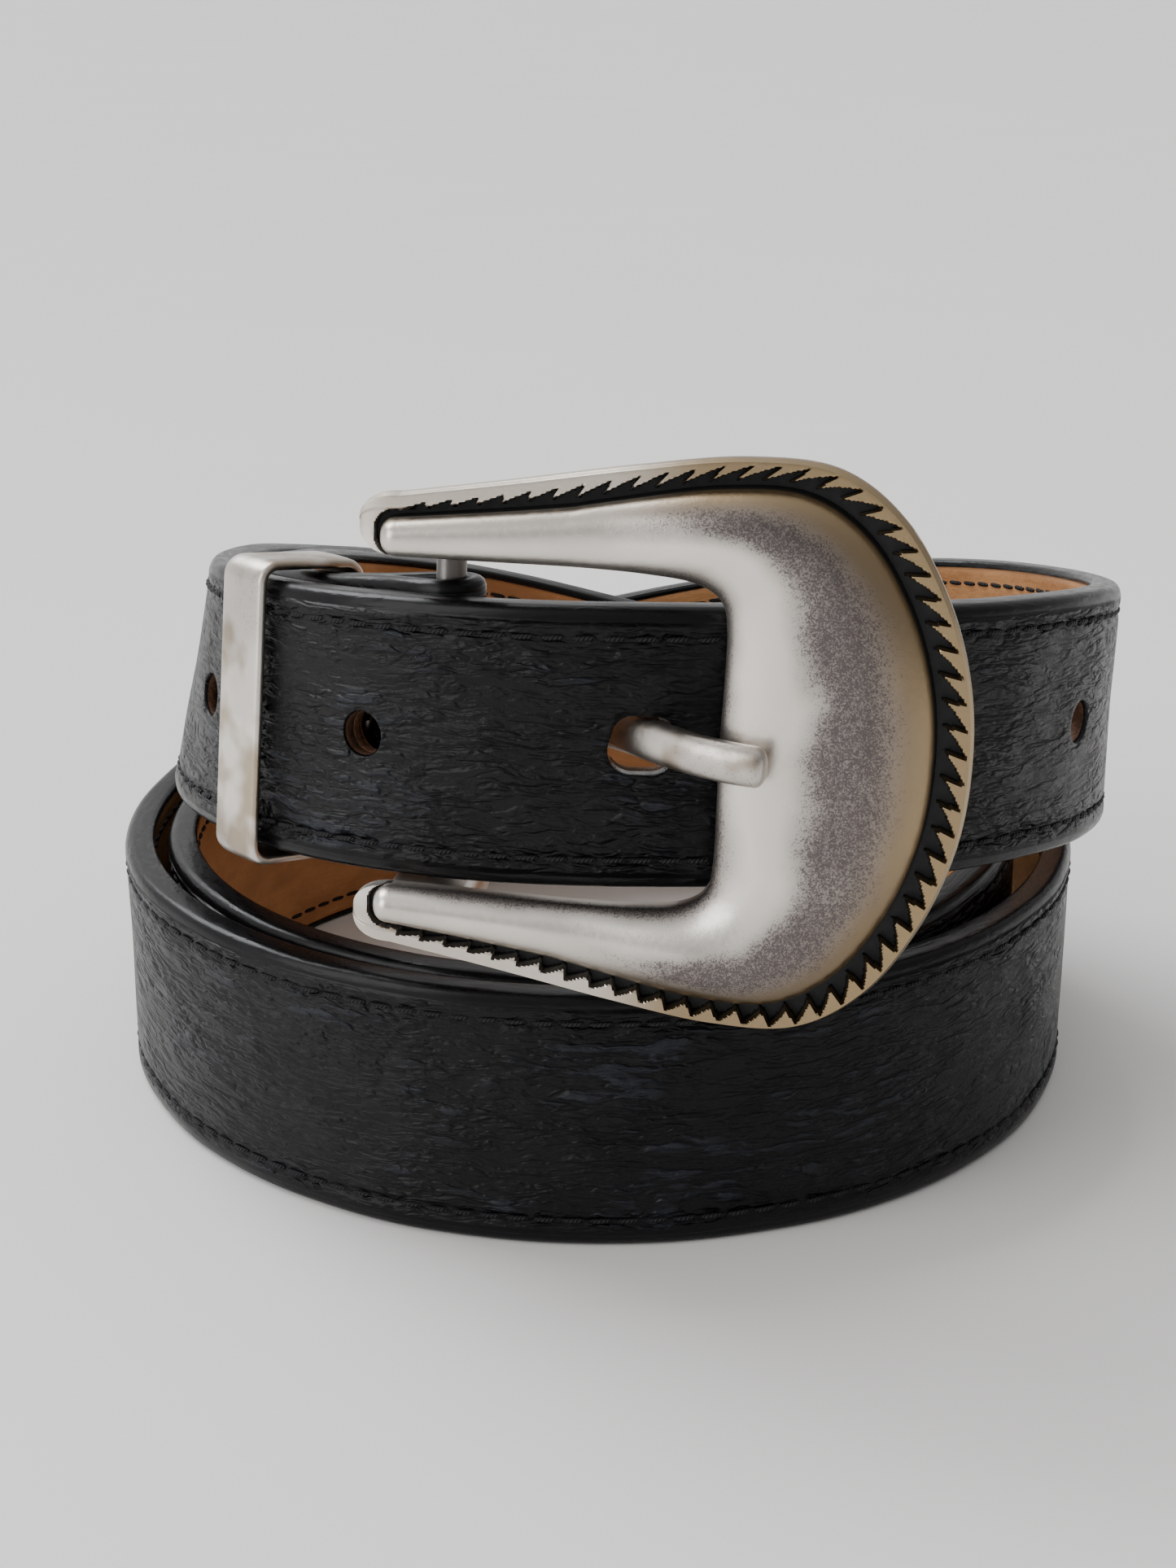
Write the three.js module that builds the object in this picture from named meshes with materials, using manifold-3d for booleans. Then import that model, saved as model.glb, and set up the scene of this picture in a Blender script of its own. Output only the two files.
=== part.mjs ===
// A black leather dress belt with a domed western buckle, done up and coiled on its edge.
// Millimetres, +Z up. The belt winds about the Z axis; the buckle faces -Y.
import * as THREE from 'three';
import { mergeVertices } from 'three/addons/utils/BufferGeometryUtils.js';
import Module from 'manifold-3d';

const wasm = await Module();
wasm.setup();

// ---------------------------------------------------------------- driving dimensions
const STRAP_WIDTH = 30;
const GRAIN_PLY = 1.7;            // outer leather, dyed black
const LINING_PLY = 1.5;           // tan lining
const PLY_GAP = 0.3;              // glue line between the plies
const HALF = STRAP_WIDTH / 2;
const CLEAR = 0.3;                // least gap between neighbouring pieces

const HINGE_AT = 19;              // winding angle of the hinge bar, degrees
const TIP_LAP = 1080;             // the tip lies three turns further on than the buckle end
const LAP_STEP = 5.7;             // middle of the tip strap to middle of the buckle end
const HINGE_RISE = 1.2;           // the buckle end stands this much higher than the tip strap
const KEEPER_RISE = 0.5;          // and this much where the keeper holds them together
const RISE_SPAN = 20;             // degrees of winding between the two
const FOLD_SKEW = 3.6;            // degrees that the fold leans from square to the strap
const SKEW_SPAN = 16;             // degrees of winding over which the strap takes up the skew
const TIP_AT = 1250;              // winding angle of the belt's tip
const TIP_LENGTH = 24;            // rounded point of the tip
const TIP_BLUNTNESS = 0.985;      // 1 would bring the tip to a sharp end
const TIP_END_HALF = 1.5;         // least half-width at the very end
const STITCH_END = 4;             // degrees before the point at which the sewing stops
const TURN_BACK_END = 64;         // where the turned-back leather stops and the lining starts
const LINING_START = 65;
const EASE_FROM = 60;             // the buckle end leaves the tip strap here
const EASE_TO = 100;              // and has reached its own turn of the coil here
const STEP = 6;                   // degrees of winding per facet

const HOLE_RADIUS = 2.4;
const PRONG_HOLE = 2.9;           // winding angle short of the lap at which the prong's hole lies
const HOLE_PITCH = 30;            // along the strap
const HOLES_BEFORE = 2;           // holes between the prong's hole and the coil
const HOLES_AFTER = 2;            // holes between the prong's hole and the tip
const PRONG_HOLE_LENGTH = 7.2;
const CUT_REACH = 2.6;            // half-length of a cutter that goes through both plies

const STITCH_INSET = 3.2;         // thread row to strap edge
const THREAD = 0.4;
const THREAD_GAP = 0.15;          // thread to leather

const BAR_RADIUS = 1.6;
const BAR_HALF_LENGTH = 19.8;
const FRAME_RISE = 1.1;           // the frame has slid this far up its fold
const FOLD_INNER = BAR_RADIUS + CLEAR;
const FOLD_OUTER = FOLD_INNER + GRAIN_PLY;
const FOLD_FLARE = 10;            // degrees of winding over which the fold closes up
const SLOT_HALF_WIDTH = 4;
const SLOT_REACH = 6.5;

const BUCKLE_YAW = 8.5;           // degrees the frame is turned from facing straight forward
const FRAME_BACK = 7.8;           // hinge axis to the back plane of the frame
const CROWN_BAR = 6.0;            // dome height in the middle of the far bar
const CROWN_ARM = 4.6;            // dome height at the arms' free ends
const EDGE_HEIGHT = 2.2;          // height of the dome's foot
const ROPE_WIDTH = 2.8;
const ROPE_HEIGHT = 2.4;
const GROOVE_WIDTH = 1.0;
const GROOVE_HEIGHT = 1.2;
const ARM_CAP = 4.3;
const EAR_HALF_LENGTH = 4.7;
const EAR_INNER = 18.1;
const EAR_OUTER = 21.6;
const EAR_BACK = -2.9;
const EAR_FRONT = FRAME_BACK + 1;

const PRONG_HALF_WIDTH = 2.4;
const PRONG_HALF_THICK = 1.5;
const PRONG_LOOP = 3.5;
const PRONG_TAPER = 0.72;         // of the prong's full section at its tip
const PRONG_ROOM = 0.45;          // room round the prong in its hole
const FRAME_SWING = 4;            // degrees the closed frame lifts off the strap
const PRONG_LIFT = 1;             // degrees the prong lifts off the frame

const KEEPER_AT = 42.6;
const KEEPER_WIDTH = 7.6;
const KEEPER_WALL = 1.1;
const KEEPER_TILT = 3;            // degrees that the loose keeper leans from square to the strap
const KEEPER_ROOM_BEHIND = 1.3;   // keeper to the turned-back leather
const SCREW_NEAR = 11.5;          // hinge axis to first screw, along the strap
const SCREW_FAR = 33;
const SCREW_HEAD = 3.6;
const SCREW_HEAD_THICK = 0.9;
const HEAD_GAP = 0.5;             // flat heads on the curved leather
const POST_RADIUS = 2.2;
const THREAD_RADIUS = 1.3;
const POST_FLOOR = 0.2;           // bottom of the post's bore, from the leather's face
const OVERRUN = 0.2;              // overlap of solids that are joined
const DRIVER_SLOT = 0.8;          // width of the slot in the screw's head

// Winding of the belt: angle in degrees (0 at the front, then left, back, right), radius of
// the strap's middle at its lower edge, height of that edge, and inward lean of the strap.
const WINDING = [
  { at: 60, r: 49.4, z: 38.4, lean: 11 },
  { at: 90, r: 46.6, z: 34.8, lean: 15 },
  { at: 135, r: 44.4, z: 27, lean: 12 },
  { at: 180, r: 44, z: 18, lean: 8 },
  { at: 225, r: 45.6, z: 12, lean: 4 },
  { at: 270, r: 50, z: 7, lean: 1 },
  { at: 315, r: 53.6, z: 2.5, lean: 0 },
  { at: 360, r: 54.9, z: 0, lean: 0 },
  { at: 450, r: 54.6, z: 0, lean: 0 },
  { at: 540, r: 55, z: 0, lean: 0 },
  { at: 630, r: 57.9, z: 0, lean: 0 },
  { at: 720, r: 59.3, z: 0, lean: 0 },
  { at: 810, r: 60.1, z: 0, lean: 0 },
  { at: 855, r: 60.2, z: 3.5, lean: 0 },
  { at: 900, r: 61, z: 12, lean: 0 },
  { at: 945, r: 62.6, z: 22.5, lean: 0 },
  { at: 990, r: 62, z: 30.6, lean: 0 },
  { at: 1035, r: 60.7, z: 38.6, lean: 0.5 },
  { at: 1080, r: 59.6, z: 42.3, lean: 1.5 },
  { at: 1105, r: 58.5, z: 41.7, lean: 4 },
  { at: 1135, r: 55.4, z: 39.2, lean: 9 },
  { at: 1170, r: 52.6, z: 35.4, lean: 15 },
  { at: 1200, r: 50.2, z: 30, lean: 13 },
  { at: 1260, r: 49.4, z: 19, lean: 8 },
];

// Half of the buckle in its own plane, as matching points of the window's edge and the
// outer edge: x runs right from the hinge axis, y up from the middle.
const WINDOW_EDGE = [
  [-3.5, 17.5], [6, 17.6], [15, 17.7], [22, 17.5], [26.8, 16.9], [29.4, 15.2], [30.1, 12],
  [30.1, 6], [30, 0],
];
const OUTER_EDGE = [
  [-3.5, 23.9], [8, 25.9], [20, 28.1], [31, 29.6], [40, 29], [46.8, 24.4], [51.7, 16.7],
  [54.5, 8.4], [55.3, 0],
];

// ---------------------------------------------------------------- materials
function leather(colour, roughness) {
  return new THREE.MeshStandardMaterial({ color: colour, roughness, metalness: 0 });
}
function silver(colour, roughness) {
  return new THREE.MeshStandardMaterial({ color: colour, roughness, metalness: 1 });
}
const blackLeather = leather(0x17161a, 0.55);
const tanLeather = leather(0x8a4f25, 0.6);
const blackThread = leather(0x0e0e10, 0.7);
const antiqueSilver = silver(0xb9b6ae, 0.34);
const plainSteel = silver(0x9c9a95, 0.4);

// ---------------------------------------------------------------- geometry helpers
function rad(degrees) {
  return degrees * Math.PI / 180;
}

function smooth(x) {
  const t = Math.min(Math.max(x, 0), 1);
  return t * t * (3 - 2 * t);
}

// A closed grid: rings[i][j] are points, each ring closes on itself, both ends are capped.
function ringSolid(rings) {
  const count = rings[0].length;
  const positions = rings.flat().flatMap((p) => [p.x, p.y, p.z]);
  const index = [];
  for (let i = 0; i + 1 < rings.length; i += 1) {
    for (let j = 0; j < count; j += 1) {
      const k = (j + 1) % count;
      const a = i * count + j;
      const b = i * count + k;
      index.push(a, b, b + count, a, b + count, a + count);
    }
  }
  const last = (rings.length - 1) * count;
  for (let j = 1; j + 1 < count; j += 1) {
    index.push(0, j + 1, j);
    index.push(last, last + j, last + j + 1);
  }
  const geometry = new THREE.BufferGeometry();
  geometry.setAttribute('position', new THREE.Float32BufferAttribute(positions, 3));
  geometry.setIndex(index);
  return facingOut(geometry);
}

function signedVolume(geometry) {
  const p = geometry.getAttribute('position');
  const index = geometry.getIndex();
  const [a, b, c] = [new THREE.Vector3(), new THREE.Vector3(), new THREE.Vector3()];
  let total = 0;
  for (let i = 0; i < index.count; i += 3) {
    a.fromBufferAttribute(p, index.getX(i));
    b.fromBufferAttribute(p, index.getX(i + 1));
    c.fromBufferAttribute(p, index.getX(i + 2));
    total += a.dot(b.cross(c)) / 6;
  }
  return total;
}

function facingOut(geometry) {
  if (signedVolume(geometry) > 0) return geometry;
  const index = geometry.getIndex();
  for (let i = 0; i < index.count; i += 3) {
    const swap = index.getX(i);
    index.setX(i, index.getX(i + 1));
    index.setX(i + 1, swap);
  }
  return geometry;
}

function toSolid(geometry) {
  const bare = geometry.clone();
  bare.deleteAttribute('normal');
  bare.deleteAttribute('uv');
  const merged = mergeVertices(bare, 1e-4);
  return new wasm.Manifold(new wasm.Mesh({
    numProp: 3,
    vertProperties: new Float32Array(merged.getAttribute('position').array),
    triVerts: new Uint32Array(merged.getIndex().array),
  }));
}

function toGeometry(solid) {
  const mesh = solid.getMesh();
  const geometry = new THREE.BufferGeometry();
  geometry.setAttribute('position', new THREE.Float32BufferAttribute(mesh.vertProperties, 3));
  geometry.setIndex(Array.from(mesh.triVerts));
  return geometry;
}

function piece(name, geometry, material) {
  const mesh = new THREE.Mesh(geometry, material);
  mesh.name = name;
  return mesh;
}

// ---------------------------------------------------------------- the winding
function windingValue(angle, key) {
  const last = WINDING.length - 1;
  let i = WINDING.findIndex((row) => row.at > angle) - 1;
  if (i === -2) i = last - 1;
  i = Math.max(i, 0);
  const row = (k) => WINDING[Math.min(Math.max(k, 0), last)];
  const slope = (k) => {
    const before = row(k)[key] - row(k - 1)[key];
    const after = row(k + 1)[key] - row(k)[key];
    return before * after > 0 ? (before + after) / (row(k + 1).at - row(k - 1).at) : 0;
  };
  const span = row(i + 1).at - row(i).at;
  const t = (angle - row(i).at) / span;
  const t2 = t * t;
  const t3 = t2 * t;
  return (2 * t3 - 3 * t2 + 1) * row(i)[key] + (t3 - 2 * t2 + t) * span * slope(i)
    + (3 * t2 - 2 * t3) * row(i + 1)[key] + (t3 - t2) * span * slope(i + 1);
}

function ownEdge(angle) {
  const r = windingValue(angle, 'r');
  return new THREE.Vector3(-r * Math.sin(rad(angle)), -r * Math.cos(rad(angle)), windingValue(angle, 'z'));
}

function axesAt(edge, angle) {
  const along = edge(angle + 0.5).sub(edge(angle - 0.5)).normalize();
  const level = new THREE.Vector3(along.y, -along.x, 0).normalize();
  if (level.dot(edge(angle)) < 0) level.negate();
  const rise = new THREE.Vector3().crossVectors(along, level);
  if (rise.z < 0) rise.negate();
  const lean = rad(windingValue(angle < 90 ? angle + TIP_LAP : angle, 'lean'));
  const up = rise.clone().multiplyScalar(Math.cos(lean)).addScaledVector(level, -Math.sin(lean));
  const out = level.clone().multiplyScalar(Math.cos(lean)).addScaledVector(rise, Math.sin(lean));
  return { along, up, out };
}

// Lower edge of the strap's middle surface. The buckle end runs LAP_STEP inside the tip
// strap and eases into a turn of its own towards the left of the coil.
function lowerEdge(angle) {
  if (angle >= EASE_TO) return ownEdge(angle);
  const tip = axesAt(ownEdge, angle + TIP_LAP);
  const rise = KEEPER_RISE + (HINGE_RISE - KEEPER_RISE) * (1 - smooth((angle - HINGE_AT) / RISE_SPAN));
  const beside = ownEdge(angle + TIP_LAP).addScaledVector(tip.out, -LAP_STEP).addScaledVector(tip.up, rise);
  return beside.lerp(ownEdge(angle), smooth((angle - EASE_FROM) / (EASE_TO - EASE_FROM)));
}

function strapFrame(angle) {
  const lapped = angle < EASE_FROM;
  const axes = lapped ? axesAt(ownEdge, angle + TIP_LAP) : axesAt(lowerEdge, angle);
  const middle = lowerEdge(angle).addScaledVector(axes.up, HALF);
  const skew = rad(FOLD_SKEW) * (1 - smooth((angle - HINGE_AT) / SKEW_SPAN));
  const up = axes.up.multiplyScalar(Math.cos(skew)).addScaledVector(axes.along, -Math.sin(skew));
  return { along: axes.along, out: axes.out, up, middle };
}

// Winding angle reached after a distance along the strap from another angle.
function angleAfter(start, distance) {
  const sign = Math.sign(distance) || 1;
  let angle = start;
  let left = Math.abs(distance);
  while (left > 0) {
    const next = angle + sign * 0.25;
    left -= strapFrame(next).middle.distanceTo(strapFrame(angle).middle);
    angle = next;
  }
  return angle;
}

// Corners of a ply's section: from offset a (flesh side) to b (grain side), half-width h.
function section(frame, a, b, h) {
  const corner = (offset, side) => frame.middle.clone()
    .addScaledVector(frame.out, offset).addScaledVector(frame.up, side * h);
  return [corner(a, -1), corner(b, -1), corner(b, 1), corner(a, 1)];
}

// Angles at whole steps between two ends, so that every piece of the strap shares its facets.
function stations(from, to) {
  const low = Math.min(from, to);
  const high = Math.max(from, to);
  const angles = [low];
  for (let a = STEP * (Math.floor(low / STEP) + 1); a < high - 0.3 * STEP; a += STEP) {
    if (a > low + 0.3 * STEP) angles.push(a);
  }
  angles.push(high);
  return from < to ? angles : angles.reverse();
}

const tipStart = angleAfter(TIP_AT, -TIP_LENGTH);

function halfWidthAt(angle, full) {
  if (angle <= tipStart) return full;
  const t = Math.min((angle - tipStart) / (TIP_AT - tipStart), 1);
  return Math.max(full * Math.sqrt(1 - TIP_BLUNTNESS * t * t), TIP_END_HALF);
}

const tipStations = [0.3, 0.55, 0.75, 0.88, 0.96, 1].map((t) => tipStart + t * (TIP_AT - tipStart));

function pinAlong(frame, radius, from, to, sides) {
  const geometry = new THREE.CylinderGeometry(radius, radius, to - from, sides);
  geometry.translate(0, (from + to) / 2, 0);
  const basis = new THREE.Matrix4().makeBasis(frame.along, frame.out, new THREE.Vector3()
    .crossVectors(frame.along, frame.out));
  basis.setPosition(frame.middle);
  geometry.applyMatrix4(basis);
  return geometry;
}

// ---------------------------------------------------------------- buckle axes
const hinge = strapFrame(HINGE_AT);
const right = new THREE.Vector3(Math.cos(rad(BUCKLE_YAW)), -Math.sin(rad(BUCKLE_YAW)), 0);
right.addScaledVector(hinge.up, -right.dot(hinge.up)).normalize();
const outward = new THREE.Vector3().crossVectors(right, hinge.up).normalize();
const frameMiddle = hinge.middle.clone().addScaledVector(hinge.up, FRAME_RISE);
const buckleBasis = new THREE.Matrix4().makeBasis(right, hinge.up, outward).setPosition(frameMiddle);

function inBuckle(x, y, out) {
  return new THREE.Vector3(x, y, out).applyMatrix4(buckleBasis);
}

// ---------------------------------------------------------------- buckle: prong, bar, frame
const PRONG_ROUTE = [
  [2.6, 0.1], [8, 0.7], [13, 1.7], [17, 3.3], [20.5, 5.7], [24, 9], [28, 12.2], [32, 14.3], [35.2, 15.1],
];

function prongBlade(extra, turn) {
  const route = new THREE.SplineCurve(PRONG_ROUTE.map(([x, n]) => new THREE.Vector2(x, n)));
  const steps = 16;
  const sides = 12;
  const rings = [];
  for (let i = 0; i <= steps; i += 1) {
    const t = i / steps;
    const taper = i === steps ? PRONG_TAPER : 1;
    const p = route.getPoint(t);
    const dir = route.getTangent(t);
    const ring = [];
    for (let j = 0; j < sides; j += 1) {
      const a = 2 * Math.PI * j / sides;
      const side = (PRONG_HALF_WIDTH + extra) * taper * Math.cos(a);
      const lift = (PRONG_HALF_THICK + extra) * taper * Math.sin(a);
      const x = p.x - dir.y * lift;
      const n = p.y + dir.x * lift;
      const c = Math.cos(rad(turn));
      const s = Math.sin(rad(turn));
      ring.push(inBuckle(x * c - n * s, side, x * s + n * c));
    }
    rings.push(ring);
  }
  return toSolid(ringSolid(rings));
}

function barPiece(radius, halfLength, sides) {
  const geometry = new THREE.CylinderGeometry(radius, radius, 2 * halfLength, sides);
  return geometry.applyMatrix4(buckleBasis);
}

function prong() {
  const loop = toSolid(barPiece(PRONG_LOOP, PRONG_HALF_WIDTH, 24));
  const bore = toSolid(barPiece(FOLD_INNER, PRONG_HALF_WIDTH + 1, 24));
  return toGeometry(loop.add(prongBlade(0, 0)).subtract(bore));
}

// Heights of the frame's front across its section, q from the window's edge to the outer
// edge: foot, dome, groove and the raised rope border.
function frameSection(inner, outer, crown) {
  const span = outer.distanceTo(inner);
  const rope = Math.min(ROPE_WIDTH, 0.27 * span);
  const groove = Math.min(GROOVE_WIDTH, 0.1 * span);
  const domeEnd = 1 - (rope + groove) / span;
  const rows = [[0, 0]];
  const domeSteps = 8;
  for (let i = 0; i <= domeSteps; i += 1) {
    const q = i / domeSteps;
    const bulge = Math.pow(1 - Math.pow(Math.abs(2 * q - 1), 2.3), 0.62);
    rows.push([q * domeEnd, EDGE_HEIGHT + (crown - EDGE_HEIGHT) * bulge]);
  }
  rows.push([domeEnd + 0.35 * groove / span, GROOVE_HEIGHT]);
  rows.push([1 - rope / span, GROOVE_HEIGHT]);
  rows.push([1 - 0.75 * rope / span, ROPE_HEIGHT]);
  rows.push([1 - 0.2 * rope / span, ROPE_HEIGHT]);
  rows.push([1, ROPE_HEIGHT * 0.6]);
  rows.push([1, 0]);
  return rows;
}

function frameRing(inner, outer, crown, side, pinch) {
  const middle = inner.clone().add(outer).multiplyScalar(0.5);
  return frameSection(inner, outer, crown).map(([q, height]) => {
    const p = inner.clone().lerp(outer, q);
    p.y = middle.y + (p.y - middle.y) * pinch;
    return inBuckle(p.x, side * p.y, FRAME_BACK + height * (0.4 + 0.6 * pinch));
  });
}

function frame() {
  const edge = (points) => new THREE.SplineCurve(points.map(([x, y]) => new THREE.Vector2(x, y)));
  const innerEdge = edge(WINDOW_EDGE);
  const outerEdge = edge(OUTER_EDGE);
  const half = [];
  const capSteps = 3;
  const capStart = 0.35;
  for (let i = 0; i < capSteps; i += 1) {
    const a = rad(90 * (i + capStart) / (capSteps + capStart));
    const inner = innerEdge.getPoint(0);
    const outer = outerEdge.getPoint(0);
    const shift = new THREE.Vector2(-ARM_CAP * Math.cos(a), 0);
    half.push([inner.add(shift), outer.add(shift), CROWN_ARM, Math.sin(a)]);
  }
  const steps = 20;
  for (let i = 0; i <= steps; i += 1) {
    const t = i / steps;
    const crown = CROWN_ARM + (CROWN_BAR - CROWN_ARM) * smooth((t - 0.3) / 0.4);
    half.push([innerEdge.getPoint(t), outerEdge.getPoint(t), crown, 1]);
  }
  const upper = half.map(([a, b, crown, pinch]) => frameRing(a, b, crown, 1, pinch));
  const other = half.slice(0, -1).reverse();
  const lower = other.map(([a, b, crown, pinch]) => frameRing(a, b, crown, -1, pinch));
  let solid = toSolid(ringSolid([...upper, ...lower]));
  for (const side of [1, -1]) {
    const ear = new THREE.BoxGeometry(2 * EAR_HALF_LENGTH, EAR_OUTER - EAR_INNER, EAR_FRONT - EAR_BACK);
    ear.translate(0, side * (EAR_INNER + EAR_OUTER) / 2, (EAR_FRONT + EAR_BACK) / 2);
    solid = solid.add(toSolid(ear.applyMatrix4(buckleBasis)));
  }
  return toGeometry(solid.subtract(toSolid(barPiece(FOLD_INNER, BAR_HALF_LENGTH + CLEAR, 20))));
}

// ---------------------------------------------------------------- strap
// How far each half of the fold is spread from the strap's middle to clear the hinge bar.
function foldSpread(angle) {
  return smooth(1 - (angle - HINGE_AT) / FOLD_FLARE) * (FOLD_INNER - PLY_GAP / 2);
}

// The grain leather starts as the turned-back ply, passes round the hinge bar and then
// follows the whole winding to the tip.
function grainPly() {
  const rings = [];
  for (const angle of stations(TURN_BACK_END, HINGE_AT + 1)) {
    const flesh = -PLY_GAP / 2 - foldSpread(angle);
    rings.push(section(strapFrame(angle), flesh, flesh - GRAIN_PLY, HALF));
  }
  const foldSteps = 8;
  for (let i = 0; i <= foldSteps; i += 1) {
    const a = rad(180 * i / foldSteps);
    const out = hinge.out.clone().multiplyScalar(-Math.cos(a)).addScaledVector(hinge.along, -Math.sin(a));
    rings.push(section({ middle: hinge.middle, up: hinge.up, out }, FOLD_INNER, FOLD_OUTER, HALF));
  }
  for (const angle of [...stations(HINGE_AT + 1, tipStart), ...tipStations]) {
    const flesh = PLY_GAP / 2 + foldSpread(angle);
    rings.push(section(strapFrame(angle), flesh, flesh + GRAIN_PLY, halfWidthAt(angle, HALF)));
  }
  return toSolid(ringSolid(rings));
}

function liningPly() {
  const rings = [...stations(LINING_START, tipStart), ...tipStations].reverse().map((angle) => section(
    strapFrame(angle),
    -PLY_GAP / 2 - LINING_PLY,
    -PLY_GAP / 2,
    halfWidthAt(angle, HALF - CLEAR),
  ));
  return toSolid(ringSolid(rings));
}

const prongHoleAt = TIP_LAP - PRONG_HOLE;

function roundHole(angle) {
  return toSolid(pinAlong(strapFrame(angle), HOLE_RADIUS, -CUT_REACH, CUT_REACH, 14));
}

function prongHole() {
  const at = strapFrame(prongHoleAt);
  const reach = PRONG_HOLE_LENGTH / 2 - HOLE_RADIUS - CLEAR;
  let hole = null;
  for (const shift of [-reach, 0, reach]) {
    const end = { ...at, middle: at.middle.clone().addScaledVector(at.along, shift) };
    const pin = toSolid(pinAlong(end, HOLE_RADIUS + CLEAR, -CUT_REACH, CUT_REACH, 14));
    hole = hole ? hole.add(pin) : pin;
  }
  const swings = 5;
  for (let i = 0; i < swings; i += 1) {
    hole = hole.add(prongBlade(PRONG_ROOM, i / (swings - 1) * (FRAME_SWING + PRONG_LIFT)));
  }
  return hole;
}

function strapHoles() {
  let holes = prongHole();
  for (let i = -HOLES_BEFORE; i <= HOLES_AFTER; i += 1) {
    if (i !== 0) holes = holes.add(roundHole(angleAfter(prongHoleAt, i * HOLE_PITCH)));
  }
  return holes;
}

function prongSlot() {
  const front = FOLD_OUTER + CLEAR;
  const slot = new THREE.BoxGeometry(SLOT_REACH + front, 2 * SLOT_HALF_WIDTH, 2 * front);
  slot.translate((front - SLOT_REACH) / 2, 0, 0);
  const across = hinge.along.clone().negate();
  across.addScaledVector(hinge.up, -across.dot(hinge.up)).normalize();
  const basis = new THREE.Matrix4().makeBasis(across, hinge.up, hinge.out);
  return toSolid(slot.applyMatrix4(basis.setPosition(hinge.middle)));
}

const screwAngles = [SCREW_NEAR, SCREW_FAR].map((distance) => angleAfter(HINGE_AT, distance));

function screwBores() {
  const [near, far] = screwAngles.map((angle) => toSolid(
    pinAlong(strapFrame(angle), POST_RADIUS + CLEAR, -CUT_REACH, CUT_REACH, 16),
  ));
  return near.add(far);
}

// ---------------------------------------------------------------- threads, screws, keeper
function threadRow(side) {
  const offset = PLY_GAP / 2 + GRAIN_PLY + THREAD_GAP;
  const across = side * (HALF - STITCH_INSET);
  const rings = stations(LINING_START, tipStart - STITCH_END).map((angle) => {
    const at = strapFrame(angle);
    const middle = at.middle.clone().addScaledVector(at.up, across);
    return section({ ...at, middle }, offset, offset + THREAD, THREAD / 2);
  });
  return ringSolid(rings);
}

const boreFace = PLY_GAP / 2 + GRAIN_PLY;
const headFoot = boreFace + HEAD_GAP;
const headTop = headFoot + SCREW_HEAD_THICK;

// Hollow post with its flat head on the inside of the coil.
function screwPost(angle) {
  const at = strapFrame(angle);
  const head = toSolid(pinAlong(at, SCREW_HEAD, -headTop, -headFoot, 24));
  const shank = toSolid(pinAlong(at, POST_RADIUS, -headFoot - OVERRUN, boreFace - CLEAR, 24));
  const bore = toSolid(pinAlong(at, THREAD_RADIUS + CLEAR, POST_FLOOR - boreFace, boreFace, 16));
  return toGeometry(head.add(shank).subtract(bore));
}

// Screw with its flat slotted head between the two straps.
function screw(angle) {
  const at = strapFrame(angle);
  const head = toSolid(pinAlong(at, SCREW_HEAD, headFoot, headTop, 24));
  const shankEnd = POST_FLOOR + CLEAR - boreFace;
  const shank = toSolid(pinAlong(at, THREAD_RADIUS, shankEnd, headFoot + OVERRUN, 16));
  const slot = new THREE.BoxGeometry(2 * SCREW_HEAD + 1, DRIVER_SLOT, DRIVER_SLOT);
  const basis = new THREE.Matrix4().makeBasis(at.along, at.out, new THREE.Vector3()
    .crossVectors(at.along, at.out));
  basis.setPosition(at.middle.clone().addScaledVector(at.out, headTop));
  return toGeometry(head.add(shank).subtract(toSolid(slot.applyMatrix4(basis))));
}

function keeper() {
  const tip = strapFrame(KEEPER_AT + TIP_LAP);
  const inner = {
    low: -LAP_STEP - boreFace - KEEPER_ROOM_BEHIND,
    high: boreFace + THREAD_GAP + THREAD + 2 * CLEAR,
    half: HALF + KEEPER_RISE / 2 + 2.5 * CLEAR,
  };
  const lean = rad(KEEPER_TILT);
  const up = tip.up.clone().multiplyScalar(Math.cos(lean)).addScaledVector(tip.along, -Math.sin(lean));
  const side = new THREE.Vector3().crossVectors(up, tip.out);
  const middle = tip.middle.clone().addScaledVector(up, KEEPER_RISE / 2);
  const box = (grow, length) => {
    const depth = inner.high - inner.low + 2 * grow;
    const geometry = new THREE.BoxGeometry(length, 2 * (inner.half + grow), depth);
    geometry.translate(0, 0, (inner.high + inner.low) / 2);
    const basis = new THREE.Matrix4().makeBasis(side, up, tip.out).setPosition(middle);
    return toSolid(geometry.applyMatrix4(basis));
  };
  return toGeometry(box(KEEPER_WALL, KEEPER_WIDTH).subtract(box(0, KEEPER_WIDTH + 2)));
}

// ---------------------------------------------------------------- assembly
const holes = strapHoles();
const bores = screwBores();
const belt = new THREE.Group();
belt.add(
  piece('strap_outer', toGeometry(grainPly().subtract(holes).subtract(prongSlot()).subtract(bores)),
    blackLeather),
  piece('strap_lining', toGeometry(liningPly().subtract(holes)), tanLeather),
  piece('thread_upper_row', threadRow(1), blackThread),
  piece('thread_lower_row', threadRow(-1), blackThread),
  piece('buckle_frame', frame(), antiqueSilver),
  piece('hinge_bar', barPiece(BAR_RADIUS, BAR_HALF_LENGTH, 20), plainSteel),
  piece('prong', prong(), antiqueSilver),
  piece('keeper', keeper(), antiqueSilver),
);
screwAngles.forEach((angle, i) => {
  belt.add(piece(`screw_post_${i + 1}`, screwPost(angle), plainSteel));
  belt.add(piece(`screw_${i + 1}`, screw(angle), plainSteel));
});

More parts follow.
